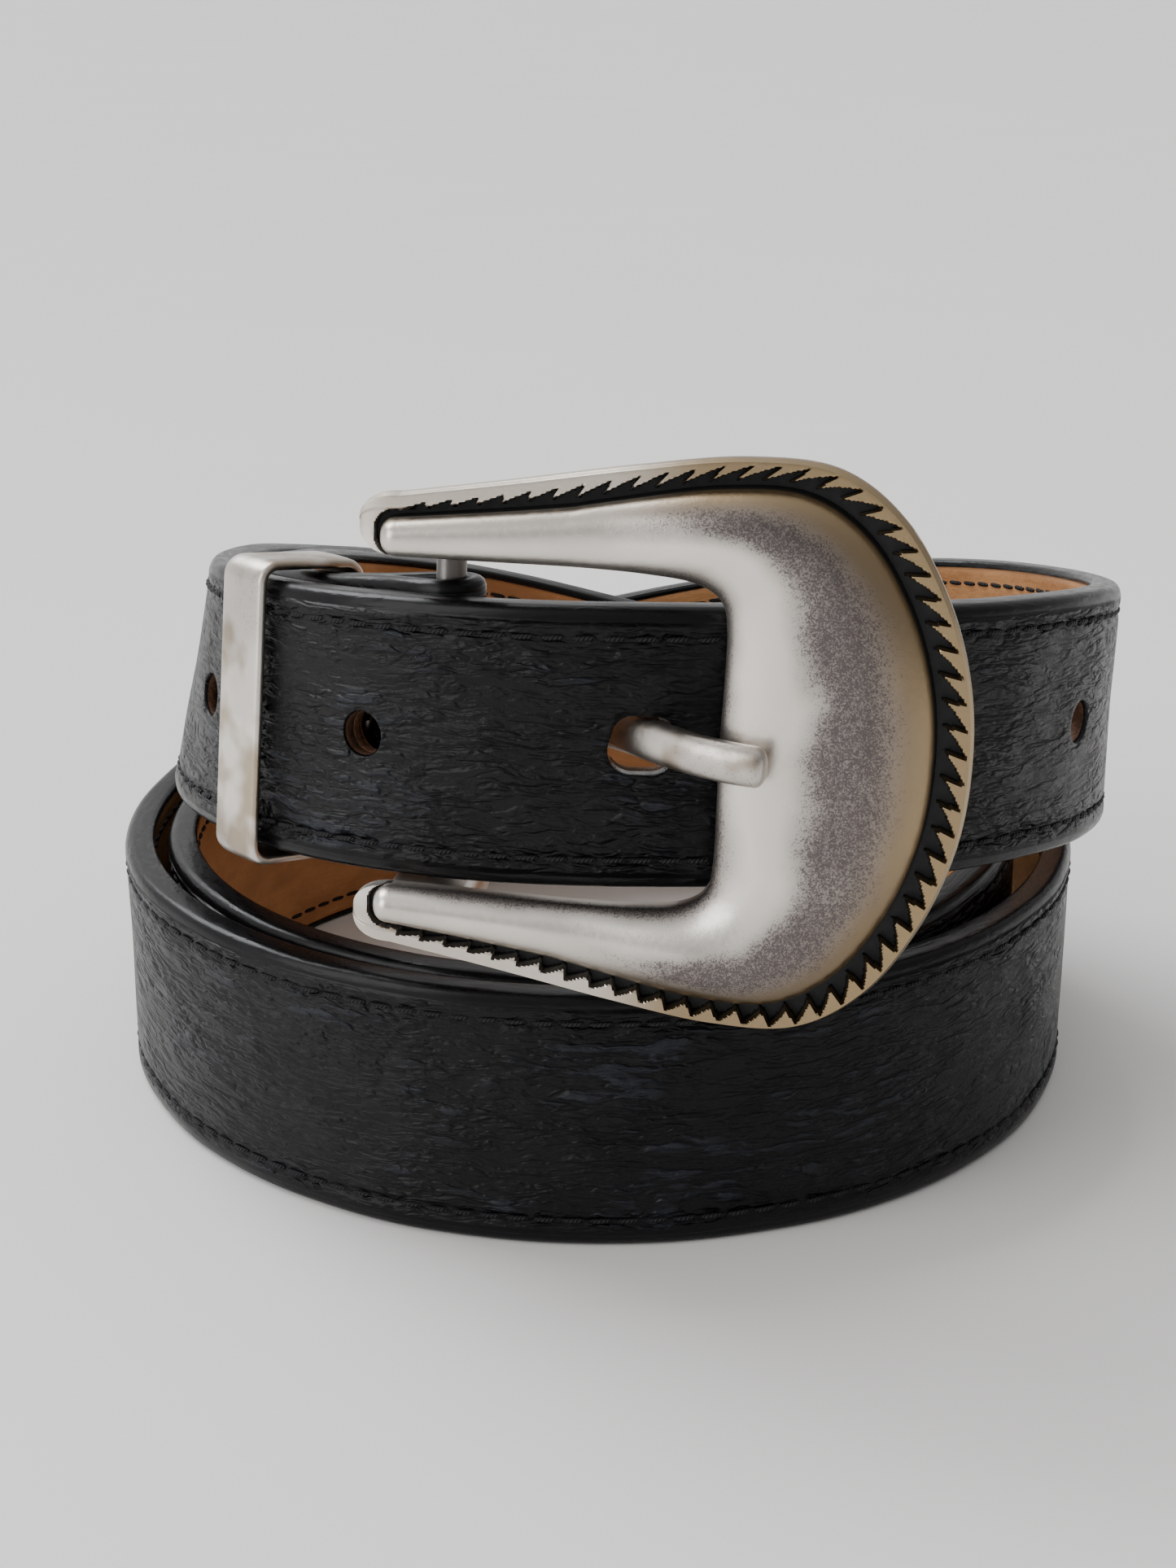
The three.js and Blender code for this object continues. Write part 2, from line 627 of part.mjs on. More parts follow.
// The origin is under the middle of the whole belt, on the surface that it stands on.
const extent = new THREE.Box3().setFromObject(belt);
const middle = extent.getCenter(new THREE.Vector3());
belt.position.set(-middle.x, -middle.y, -extent.min.z);

export default belt;
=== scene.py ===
# A black leather dress belt with a domed western buckle, done up and coiled on its edge.
# The shapes are worked out in millimetres, in the belt's own coil frame, and placed in metres.
import math

import bmesh
import bpy
import numpy as np
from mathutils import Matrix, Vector

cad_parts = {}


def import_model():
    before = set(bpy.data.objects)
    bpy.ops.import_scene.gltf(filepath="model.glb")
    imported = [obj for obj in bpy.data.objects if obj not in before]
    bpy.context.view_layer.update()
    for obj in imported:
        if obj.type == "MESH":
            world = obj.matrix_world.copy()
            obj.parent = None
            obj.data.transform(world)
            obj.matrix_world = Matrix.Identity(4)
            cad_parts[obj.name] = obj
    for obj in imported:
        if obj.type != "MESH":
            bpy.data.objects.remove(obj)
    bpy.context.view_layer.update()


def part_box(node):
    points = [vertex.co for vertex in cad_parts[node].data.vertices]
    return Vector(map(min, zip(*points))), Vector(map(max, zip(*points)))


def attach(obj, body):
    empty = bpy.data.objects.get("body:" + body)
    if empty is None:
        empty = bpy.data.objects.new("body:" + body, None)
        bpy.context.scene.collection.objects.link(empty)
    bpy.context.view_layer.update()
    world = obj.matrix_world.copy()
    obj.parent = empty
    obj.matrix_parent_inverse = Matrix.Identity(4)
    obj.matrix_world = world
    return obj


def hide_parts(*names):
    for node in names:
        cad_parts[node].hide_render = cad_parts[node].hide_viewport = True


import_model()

MM = 0.001

# ---- driving dimensions, mm and degrees
HALF = 15.0  # half the strap's width
GRAIN_FACE = 1.85  # middle of the strap to the grain side
LINING_FACE = 1.65  # middle of the strap to the lining's face
BOND = 0.03  # middle of the strap to each ply
HINGE_AT = 19.0
TIP_LAP = 1080.0  # the tip lies three turns further on than the buckle end
LAP_STEP = 5.7
HINGE_RISE = 1.2  # the buckle end stands this much higher than the tip strap
KEEPER_RISE = 0.5  # and this much at the keeper
RISE_SPAN = 20.0
FOLD_SKEW = 3.6  # the fold leans this much from square to the strap
SKEW_SPAN = 16.0
EASE_FROM = 60.0  # the buckle end leaves the tip strap here
EASE_TO = 100.0  # and has reached its own turn of the coil here
TIP_AT = 1250.0
TIP_LENGTH = 24.0
TURN_BACK_END = 64.0
LINING_START = 65.0
PRONG_HOLE_AT = TIP_LAP - 2.9
HOLE_PITCH = 30.0
HOLE_RADIUS = 2.35
STATION = 0.8  # length of strap per ring of the mesh
FOLD_CLEARS = 0.8  # distance from the hinge at which the turned-back ply's rings stop
FRONT_STARTS = 1.0  # and at which the outer ply's rings start
TIP_RINGS = 46
TIP_POINT = 0.997  # how nearly the strap's width closes at the tip
EDGE_INSET = 0.95  # the lining stops this far inside the painted edge
PLY_END_RADIUS = 1.2  # rounding of the plies at the belt's tip
SKIVE = 0.55  # share of the thickness pared off where the turned-back ply ends
SKIVE_LENGTH = 5.0
MOUTH_DEPTH = 0.7  # dye in a hole reaches this far from the face
HOLE_ZONE = 3.4  # a wall face of a hole lies within this of its middle,
HOLE_SQUEEZE = 0.62  # with distances along the strap counted for less,
WALL_FACING = 0.94  # and looks out of the strap by less than this
MESH_SHARP = 50  # degrees between faces that stay sharp, on leather

STITCH_INSET = 3.2
STITCH_PITCH = 3.0
STITCH_LENGTH = 2.55
THREAD_RADIUS = 0.27
CHANNEL_DEPTH = 0.24
LINING_CHANNEL = 0.16
CHANNEL_WIDTH = 0.5
THREAD_SINK = 0.05  # the thread lies this far into its channel
LINING_SINK = 0.07
THREAD_FLATTENED = 1.1
STITCH_ARCH = 0.2
STITCH_LEAN = 0.07

BAR_RADIUS = 1.6
BAR_HALF_LENGTH = 19.8
FRAME_RISE = 1.1  # the frame has slid this far up its fold
FOLD_INNER = 1.9
FOLD_FLARE = 10.0

BUCKLE_YAW = 8.5
FRAME_BACK = 7.8
CROWN_BAR = 6.0
CROWN_ARM = 4.6
CROWN_FROM = 14.0  # the crown rises here from the arm's height to the far bar's
CROWN_SPAN = 12.0
EDGE_HEIGHT = 2.2
ROPE_WIDTH = 2.8
ROPE_SHARE = 0.27  # most of the section's width that the border takes
ROPE_FADE = 1.5  # the notches fade out over this at the arms' ends
ROPE_HEIGHT = 2.5
ROPE_PITCH = 2.75
ROPE_SLANT = 0.34  # a notch leans by this many pitches over the border's width
NOTCH_REACH = 0.78  # depth of a notch on the far bar, of the border's width
NOTCH_FADE = 0.42  # and this much less at the arms' ends
NOTCH_GROWS = 0.9  # share of a pitch over which a notch widens
DOME_POWER = 2.3
DOME_ROUND = 0.62
DOME_CAP = 1.9  # the dome's reach past the arm, and the border's inner edge there
RIM_CAP = 2.5
BACK_PLACE = 0.3  # place value of the frame's back and sides
BACK_OXIDE = 0.5
EAR_OXIDE = 0.45
GROOVE_WIDTH = 1.0
GROOVE_SHARE = 0.1
GROOVE_HEIGHT = 1.0
ARM_CAP = 4.3
CAP_RINGS = 34
FOOT = 0.35  # height of the frame's outer and inner foot over its back
EAR_HALF_LENGTH = 4.7
EAR_INNER = 18.1
EAR_OUTER = 21.6
EAR_BACK = -2.9
EAR_CORNER = 1.2
RING_STEP = 0.2  # buckle mesh, along its outer edge
OUTLINE_SAMPLES = 3001

PRONG_HALF_WIDTH = 2.25
PRONG_HALF_THICK = 1.5
PRONG_LOOP = 3.5
PRONG_CORNER = 0.5
BLADE_END = 0.945  # share of the route where the prong's round end starts
PRONG_SQUARE = 0.9  # 1 would make the section an ellipse
PRONG_TAPER = 0.06
PRONG_ROOM = 0.4  # room round the prong in its passage
PRONG_SWINGS = (0, 2.5, 5)  # degrees at which the passage is cut
PRONG_HOLE_RADIUS = 2.6
PRONG_HOLE_REACH = 0.9
SLOT_REACH = 6.5
SLOT_FRONT = 5.0
SLOT_HALF_WIDTH = 4.0
SLOT_HALF_DEPTH = 4.0
SLOT_CORNER = 1.2

KEEPER_AT = 42.6
KEEPER_WIDTH = 7.6
KEEPER_WALL = 1.1
KEEPER_TILT = 3.0  # the loose keeper leans this much from square to the strap
KEEPER_ROOM_BEHIND = 1.3
KEEPER_ROOM_FRONT = 1.15
KEEPER_ROOM_SIDE = 0.75
KEEPER_CORNER = 1.4
KEEPER_STEPS = 12

SCREW_NEAR = 11.5
SCREW_FAR = 33.0
SCREW_HEAD = 3.6
SCREW_HEAD_THICK = 0.9
HEAD_GAP = 0.5
POST_RADIUS = 2.2
SCREW_RADIUS = 1.3
SCREW_BORE = 2.4
DRIVER_SLOT = 0.4  # half its width
DRIVER_DEPTH = 0.45

# Winding angle (0 at the front, then left, back, right), radius of the strap's middle at its
# lower edge, height of that edge, inward lean of the strap.
WINDING = np.array([
    [60, 49.4, 38.4, 11], [90, 46.6, 34.8, 15], [135, 44.4, 27, 12], [180, 44, 18, 8],
    [225, 45.6, 12, 4], [270, 50, 7, 1], [315, 53.6, 2.5, 0], [360, 54.9, 0, 0],
    [450, 54.6, 0, 0], [540, 55, 0, 0], [630, 57.9, 0, 0], [720, 59.3, 0, 0],
    [810, 60.1, 0, 0], [855, 60.2, 3.5, 0], [900, 61, 12, 0], [945, 62.6, 22.5, 0],
    [990, 62, 30.6, 0], [1035, 60.7, 38.6, 0.5], [1080, 59.6, 42.3, 1.5], [1105, 58.5, 41.7, 4],
    [1135, 55.4, 39.2, 9], [1170, 52.6, 35.4, 15], [1200, 50.2, 30, 13], [1260, 49.4, 19, 8],
])
RADIUS, HEIGHT, LEAN = 1, 2, 3

# Half of the buckle in its own plane: x right from the hinge axis, y up from the middle.
WINDOW_EDGE = [
    [-3.5, 17.5], [6, 17.6], [15, 17.7], [22, 17.5], [26.8, 16.9], [29.4, 15.2], [30.1, 12],
    [30.1, 6], [30, 0],
]
OUTER_EDGE = [
    [-3.5, 23.9], [8, 25.9], [20, 28.1], [31, 29.6], [40, 29], [46.8, 24.4], [51.7, 16.7],
    [54.5, 8.4], [55.3, 0],
]
# Middle line of the prong: x right from the hinge axis, then height off the strap.
PRONG_ROUTE = [
    [2.6, 0.1], [8, 0.7], [13, 1.7], [17, 3.3], [20.5, 5.7], [24, 9], [28, 12.2], [32, 14.3],
    [35.2, 15.1],
]


# ---- small mathematics
def smooth(x):
    t = np.clip(x, 0, 1)
    return t * t * (3 - 2 * t)


def unit(v):
    return v / np.linalg.norm(v, axis=-1, keepdims=True)


def dot(a, b):
    return np.sum(a * b, axis=-1)


def column(values):
    return np.asarray(values, dtype=float)[..., None]


def placed(middle, *terms):
    """middle, moved along each direction by its distances."""
    for direction, distance in terms:
        middle = middle + direction * column(distance)
    return middle


def spline(points, t):
    """Points of a uniform Catmull-Rom spline, t from 0 to 1 over the whole list."""
    p = np.asarray(points, dtype=float)
    last = len(p) - 1
    at = np.clip(np.asarray(t, dtype=float), 0, 1) * last
    i = np.minimum(at.astype(int), last - 1)
    w = (at - i)[:, None]
    p0, p1, p2, p3 = (p[np.clip(i + k, 0, last)] for k in (-1, 0, 1, 2))
    v0 = (p2 - p0) / 2
    v1 = (p3 - p1) / 2
    return ((2 * p1 - 2 * p2 + v0 + v1) * w**3 + (-3 * p1 + 3 * p2 - 2 * v0 - v1) * w**2 + v0 * w + p1)


def lengths(points):
    steps = np.linalg.norm(np.diff(points, axis=0), axis=1)
    return np.concatenate([[0], np.cumsum(steps)])


# ---- the winding
def winding(angle, key):
    at, values = WINDING[:, 0], WINDING[:, key]
    last = len(at) - 1
    change = np.diff(values)
    slopes = np.zeros(last + 1)
    keep = change[:-1] * change[1:] > 0
    slopes[1:-1] = np.where(keep, (values[2:] - values[:-2]) / (at[2:] - at[:-2]), 0)
    i = np.clip(np.searchsorted(at, angle, side="right") - 1, 0, last - 1)
    span = at[i + 1] - at[i]
    t = (angle - at[i]) / span
    return (
        (2 * t**3 - 3 * t**2 + 1) * values[i] + (t**3 - 2 * t**2 + t) * span * slopes[i]
        + (3 * t**2 - 2 * t**3) * values[i + 1] + (t**3 - t**2) * span * slopes[i + 1]
    )


def own_edge(angle):
    turn = np.radians(angle)
    r = winding(angle, RADIUS)
    return np.stack([-r * np.sin(turn), -r * np.cos(turn), winding(angle, HEIGHT)], axis=-1)


def axes_at(edge, angle):
    """Directions along the strap, up its width and out of its grain side."""
    along = unit(edge(angle + 0.5) - edge(angle - 0.5))
    level = unit(np.stack([along[:, 1], -along[:, 0], 0 * along[:, 0]], axis=-1))
    level *= np.where(dot(level, edge(angle)) < 0, -1, 1)[:, None]
    rise = np.cross(along, level)
    rise *= np.where(rise[:, 2] < 0, -1, 1)[:, None]
    lean = np.radians(winding(np.where(angle < 90, angle + TIP_LAP, angle), LEAN))
    up = rise * column(np.cos(lean)) - level * column(np.sin(lean))
    out = level * column(np.cos(lean)) + rise * column(np.sin(lean))
    return along, up, out


def lower_edge(angle):
    """The buckle end runs LAP_STEP inside the tip strap, then eases into its own turn."""
    _, up, out = axes_at(own_edge, angle + TIP_LAP)
    rise = KEEPER_RISE + (HINGE_RISE - KEEPER_RISE) * (1 - smooth((angle - HINGE_AT) / RISE_SPAN))
    beside = own_edge(angle + TIP_LAP) - LAP_STEP * out + column(rise) * up
    share = column(smooth((angle - EASE_FROM) / (EASE_TO - EASE_FROM)))
    return beside * (1 - share) + own_edge(angle) * share


def strap_frame(angle):
    """Middle of the strap and its three directions, for an array of winding angles."""
    angle = np.atleast_1d(np.asarray(angle, dtype=float))
    lapped = column(angle < EASE_FROM)
    own = axes_at(lower_edge, angle)
    tip = axes_at(own_edge, angle + TIP_LAP)
    along, up, out = (np.where(lapped, b, a) for a, b in zip(own, tip))
    middle = lower_edge(angle) + HALF * up
    skew = column(math.radians(FOLD_SKEW) * (1 - smooth((angle - HINGE_AT) / SKEW_SPAN)))
    return middle, along, up * np.cos(skew) - along * np.sin(skew), out


fine_angles = np.arange(HINGE_AT, TIP_AT + 0.01, 0.1)
fine_lengths = lengths(strap_frame(fine_angles)[0])


def length_at(angle):
    return np.interp(angle, fine_angles, fine_lengths)


def angle_at(length):
    return np.interp(length, fine_lengths, fine_angles)


STRAP_END = length_at(TIP_AT)
TIP_START = STRAP_END - TIP_LENGTH

hinge_middle, hinge_along, hinge_up, hinge_out = (v[0] for v in strap_frame(HINGE_AT))
yaw = math.radians(BUCKLE_YAW)
buckle_right = np.array([math.cos(yaw), -math.sin(yaw), 0])
buckle_right = unit(buckle_right - dot(buckle_right, hinge_up) * hinge_up)
buckle_out = unit(np.cross(buckle_right, hinge_up))

# The coil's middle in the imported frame, from the hinge bar that both share.
bar_low, bar_high = (np.array(corner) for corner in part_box("hinge_bar"))
frame_middle = hinge_middle + FRAME_RISE * hinge_up
COIL_MIDDLE = (bar_low + bar_high) / 2 / MM - frame_middle


def in_buckle(x, y, out):
    """Buckle coordinates, as arrays, to the coil frame."""
    return placed(frame_middle, (buckle_right, x), (hinge_up, y), (buckle_out, out))


# ---- meshes
def new_mesh(name, points, faces, uv=None, values=None, sharp=40):
    """A smooth-shaded object from points in the coil frame. uv is one pair per face corner."""
    mesh = bpy.data.meshes.new(name)
    mesh.from_pydata(((points + COIL_MIDDLE) * MM).tolist(), [], faces)
    for key, data in (values or {}).items():
        mesh.attributes.new(key, "FLOAT", "POINT").data.foreach_set("value", np.ravel(data))
    if uv is not None:
        mesh.uv_layers.new(name="surface").data.foreach_set("uv", np.ravel(uv))
    mesh.polygons.foreach_set("use_smooth", np.ones(len(mesh.polygons), dtype=bool))
    mesh.validate()
    mesh.update()
    piece = bpy.data.objects.new(name, mesh)
    bpy.context.scene.collection.objects.link(piece)
    outward_faces(piece)
    mesh.set_sharp_from_angle(angle=math.radians(sharp))
    return piece


def outward_faces(piece):
    shape = bmesh.new()
    shape.from_mesh(piece.data)
    bmesh.ops.recalc_face_normals(shape, faces=shape.faces)
    shape.to_mesh(piece.data)
    shape.free()


def tube(rings, closed=False, u=None, v=None):
    """Faces and corner coordinates of a grid whose rings each close on themselves.
    v has one value more than a ring has points, for the seam."""
    count, sides = rings.shape[:2]
    wrap = count if closed else count - 1
    i, j = np.meshgrid(np.arange(wrap), np.arange(sides), indexing="ij")
    i, j = i.ravel(), j.ravel()
    i2, j2 = (i + 1) % count, (j + 1) % sides
    quads = np.stack([i * sides + j, i * sides + j2, i2 * sides + j2, i2 * sides + j], axis=-1)
    faces = quads.tolist()
    u = np.arange(count + 1.0) if u is None else u
    v = np.arange(sides + 1.0) if v is None else v
    corner_u = np.stack([u[i], u[i], u[i + 1], u[i + 1]], axis=-1)
    corner_v = np.stack([v[j], v[j + 1], v[j + 1], v[j]], axis=-1)
    uv = np.stack([corner_u, corner_v], axis=-1).reshape(-1, 2)
    if not closed:
        first = list(range(sides))
        last = [(count - 1) * sides + k for k in reversed(range(sides))]
        faces += [first, last]
        cap_v = np.concatenate([v[:-1], v[:-1][::-1]])
        cap_u = np.concatenate([np.full(sides, u[0]), np.full(sides, u[count - 1])])
        uv = np.concatenate([uv, np.stack([cap_u, cap_v], axis=-1)])
    return faces, uv


def swept(name, rings, closed=False, u=None, v=None, values=None, sharp=40):
    faces, uv = tube(rings, closed, u, v)
    return new_mesh(name, rings.reshape(-1, 3), faces, uv, values, sharp)


def lathe(name, profile, centre, axis, side, steps=48, sharp=35):
    """A closed profile of (radius, height) pairs turned about an axis through centre."""
    axis = unit(np.asarray(axis, dtype=float))
    x = unit(side - dot(side, axis) * axis)
    y = np.cross(axis, x)
    turn = np.linspace(0, 2 * np.pi, steps, endpoint=False)
    spoke = column(np.cos(turn)) * x + column(np.sin(turn)) * y
    radius, height = np.asarray(profile, dtype=float).T
    rings = placed(centre, (spoke[:, None], radius[None]), (axis, height[None]))
    v = lengths(np.vstack([profile, profile[:1]]))
    return swept(name, rings, closed=True, v=v, sharp=sharp)


def carve(piece, cutters, operation="DIFFERENCE"):
    """Applies a boolean with each cutter in turn and removes the cutters."""
    for cutter in cutters:
        modifier = piece.modifiers.new("cut", "BOOLEAN")
        modifier.operation = operation
        modifier.solver = "EXACT"
        modifier.object = cutter
    bpy.context.view_layer.update()
    shape = bpy.data.meshes.new_from_object(piece.evaluated_get(bpy.context.evaluated_depsgraph_get()))
    piece.modifiers.clear()
    old = piece.data
    piece.data = shape
    bpy.data.meshes.remove(old)
    for cutter in cutters:
        bpy.data.objects.remove(cutter)


# ---- strap
def edge_arc(start, end, steps):
    turn = np.radians(np.linspace(start, end, steps))
    return np.cos(turn), np.sin(turn)


def ply_outline(half, lip, thick, channel):
    """Half outlines of the grain leather, one row per ring: offsets from the flesh side,
    distances across, and distances over the surface from the middle of the grain side.
    The painted edge reaches lip beyond the flesh side, round the lining."""
    half, lip, thick, channel = (column(v) for v in (half, lip, thick, channel))
    inset = np.array([
        15, 12.6, 10.2, 8.2, 6.6, 5.4, 4.7, 4.2, 3.85, 3.55, 3.2, 2.85, 2.55, 2.2, 1.8, 1.4,
    ])
    near = np.minimum(inset, 5.0) * np.minimum(1, half / 7)
    far = np.maximum(inset - 5.0, 0) / 10
    across = (half - near) * (1 - far)
    groove = channel * np.exp(-((inset - STITCH_INSET) / CHANNEL_WIDTH) ** 2)
    roll = 0.1 * np.sin(np.pi * np.clip(inset / STITCH_INSET, 0, 1)) * np.sign(channel)
    offset = thick - groove + roll
    grain_radius = 1.15 * np.minimum(1, thick / 1.7)
    flesh_radius = 0.6 * np.minimum(1, thick / 1.7)
    cos_a, sin_a = edge_arc(80, 0, 6)
    across = np.hstack([across, half - grain_radius * (1 - cos_a)])
    offset = np.hstack([offset, thick - grain_radius * (1 - sin_a)])
    cos_a, sin_a = edge_arc(0, -90, 5)
    across = np.hstack([across, half - flesh_radius * (1 - cos_a)])
    offset = np.hstack([offset, -lip + flesh_radius * (1 + sin_a)])
    inside = half - 0.9 * np.minimum(1, half / 7)
    across = np.hstack([across, inside, inside, inside / 2, 0 * half])
    offset = np.hstack([offset, -lip, 0 * half, 0 * half, 0 * half])
    return offset, across


def full_loop(offset, across):
    """Both halves of an outline joined into rings that close on themselves."""
    offset = np.hstack([offset, offset[:, -2:0:-1]])
    across = np.hstack([across, -across[:, -2:0:-1]])
    return offset, across


def loop_coordinate(offset, across):
    """Distance over the surface of a ring, 0 in the middle of the grain side."""
    steps = np.hypot(np.diff(np.append(offset, offset[0])), np.diff(np.append(across, across[0])))
    travelled = np.concatenate([[0], np.cumsum(steps)])
    half_way = len(offset) // 2
    return np.where(np.arange(len(travelled)) <= half_way, travelled, travelled - travelled[-1])


def half_width(length):
    """Half the strap's width at a distance from the hinge, drawn in at the tip."""
    t = np.clip((length - TIP_START) / TIP_LENGTH, 0, 1)
    return HALF * np.sqrt(1 - TIP_POINT * t**2)


def end_rounding(length, radius):
    """Share of the thickness left at a distance short of the strap's end."""
    t = np.clip((STRAP_END - length) / radius, 0, 1)
    return 0.35 + 0.65 * np.sqrt(1 - (1 - t) ** 2)


def strap_lengths(start):
    """Distances of the rings: even along the strap and closer together at the tip."""
    body = np.arange(start, TIP_START, STATION)
    tip = TIP_START + TIP_LENGTH * np.sin(np.radians(np.linspace(0, 90, TIP_RINGS)))
    return np.concatenate([body, tip])


def fold_spread(angle):
    return smooth(1 - (angle - HINGE_AT) / FOLD_FLARE) * (FOLD_INNER - BOND)


def ripple(length, across):
    """Slow unevenness of worn leather, a tenth of a millimetre or so."""
    return (
        0.05 * np.sin(length / 4.3 + 1.7 * np.sin(across / 6))
        + 0.045 * np.sin(length / 9.1 + across / 4.2 + 2)
        + 0.03 * np.sin(length / 2.6 - across / 2.9)
    )


def outer_leather():
    """Turned-back ply, fold round the hinge bar, then the whole winding to the tip."""
    thick = GRAIN_FACE - BOND
    back = np.arange(length_at(TURN_BACK_END), FOLD_CLEARS, -STATION)
    front = strap_lengths(FRONT_STARTS)
    fold_steps = np.radians(np.linspace(0, 180, 17))

    def ply(travelled, facing):
        angles = angle_at(travelled)
        middle, _, up, out = strap_frame(angles)
        return middle, up, facing * out, BOND + fold_spread(angles), facing * travelled

    outs = -hinge_out * column(np.cos(fold_steps)) - hinge_along * column(np.sin(fold_steps))
    still = np.ones((len(fold_steps), 1))
    fold = (
        still * hinge_middle, still * hinge_up, outs, np.full(len(fold_steps), FOLD_INNER),
        fold_steps / 3 - FOLD_CLEARS,
    )
    parts = (ply(back, -1), fold, ply(front, 1))
    middle, up, out, flesh, length = (np.concatenate(rows) for rows in zip(*parts))

    half = half_width(length)
    sewn = smooth((length - length_at(LINING_START)) / 2)
    lip = 0.05 + (LINING_FACE + 0.1 + BOND - 0.05) * sewn
    shrink = end_rounding(length, PLY_END_RADIUS)
    channel = CHANNEL_DEPTH * sewn * smooth((half - 6) / 4)
    pared = smooth((-length - length_at(TURN_BACK_END) + SKIVE_LENGTH) / SKIVE_LENGTH)
    skive = 1 - SKIVE * pared
    outline = ply_outline(half, lip * shrink, thick * shrink * skive, channel)
    offset, across = full_loop(*outline)
    lift = ripple(length[:, None], across) * (offset > 0.8) * sewn[:, None]
    raised = flesh[:, None] + offset + lift
    rings = placed(middle[:, None], (up[:, None], across), (out[:, None], raised))
    sample = len(length) // 2
    v = loop_coordinate(offset[sample], across[sample])
    return swept("strap_leather", rings, u=length, v=v, sharp=MESH_SHARP)


def lining_leather():
    length = strap_lengths(length_at(LINING_START))
    half = half_width(length)
    half = half - EDGE_INSET * np.minimum(1, half / 7)
    shrink = end_rounding(length, PLY_END_RADIUS)
    middle, _, up, out = strap_frame(angle_at(length))
    share = np.array([0, 0.25, 0.5, 0.7, 0.8, 0.86, 0.92, 0.97])
    inset = half[:, None] * (1 - share) + EDGE_INSET
    groove = LINING_CHANNEL * np.exp(-((inset - STITCH_INSET) / CHANNEL_WIDTH) ** 2)
    groove *= smooth((half - 6) / 4)[:, None]
    face = -LINING_FACE * shrink[:, None] + groove
    face += 0.5 * ripple(length[:, None] + 40, half[:, None] * share)
    edge = half[:, None] * np.array([1, 1, 0.5, 0])
    edge_offset = np.hstack([column(-LINING_FACE * shrink + 0.12), np.full((len(length), 3), -BOND)])
    offset, across = full_loop(
        np.hstack([face, edge_offset]), np.hstack([half[:, None] * share, edge])
    )
    rings = placed(middle[:, None], (up[:, None], across), (out[:, None], offset))
    v = loop_coordinate(offset[len(length) // 2], across[len(length) // 2])
    return swept("lining_leather", rings, u=length, v=v, sharp=MESH_SHARP)


def punch(name, angle, radius, mouth, reach=0.0):
    """Cutter of a punched hole: straight wall, with the mouth on the grain side drawn in.
    reach is half the straight length of an oblong hole."""
    middle, along, up, out = (v[0] for v in strap_frame(angle))
    beyond = 4
    heights = np.array([
        -beyond, -LINING_FACE - 0.02, -LINING_FACE + 0.25, GRAIN_FACE - 0.55, GRAIN_FACE - 0.25,
        GRAIN_FACE - 0.05, GRAIN_FACE + 0.15, beyond,
    ])
    radii = radius + mouth * np.array([0.5, 0.5, 0, 0, 0.25, 0.75, 1.5, 1.5])
    turn = np.linspace(0, 2 * np.pi, 64, endpoint=False)
    x = np.cos(turn)[None] * radii[:, None] + reach * np.sign(np.round(np.cos(turn), 6))[None]
    y = np.sin(turn)[None] * radii[:, None]
    return swept(name, placed(middle, (along, x), (up, y), (out, heights[:, None])))


def slot_cutter():
    """Slot across the fold, through which the prong's loop turns on the bar."""
    along = unit(hinge_along - dot(hinge_along, hinge_up) * hinge_up)
    turn = np.linspace(0, 2 * np.pi, 40, endpoint=False)
    middle, half = (SLOT_FRONT - SLOT_REACH) / 2, (SLOT_REACH + SLOT_FRONT) / 2
    x = middle + np.sign(np.cos(turn)) * (half - SLOT_CORNER) + SLOT_CORNER * np.cos(turn)
    y = np.sign(np.sin(turn + 1e-9)) * (SLOT_HALF_WIDTH - SLOT_CORNER) + SLOT_CORNER * np.sin(turn)
    z = np.array([-SLOT_HALF_DEPTH, SLOT_HALF_DEPTH])
    rings = placed(hinge_middle, (-along, x[None]), (hinge_up, y[None]), (hinge_out, z[:, None]))
    return swept("slot", rings)


def hole_angles():
    at = length_at(PRONG_HOLE_AT)
    return [angle_at(at + k * HOLE_PITCH) for k in (-2, -1, 1, 2)]


def screw_angles():
    return [angle_at(SCREW_NEAR), angle_at(SCREW_FAR)]


def cut_strap(piece, fold):
    """Holes and the prong's passage, and, in the ply that folds, the slot and the screw bores."""
    cutters = [punch(f"hole_{k}", at, HOLE_RADIUS, 0.28) for k, at in enumerate(hole_angles())]
    cutters.append(punch("prong_hole", PRONG_HOLE_AT, PRONG_HOLE_RADIUS, 0.25, PRONG_HOLE_REACH))
    for k, swing in enumerate(PRONG_SWINGS):
        rings = prong_rings(PRONG_ROOM, math.radians(swing), 24, 24)
        cutters.append(swept(f"passage_{k}", rings))
    if fold:
        cutters.append(slot_cutter())
        cutters += [punch(f"bore_{k}", at, SCREW_BORE, 0.0) for k, at in enumerate(screw_angles())]
    carve(piece, cutters)


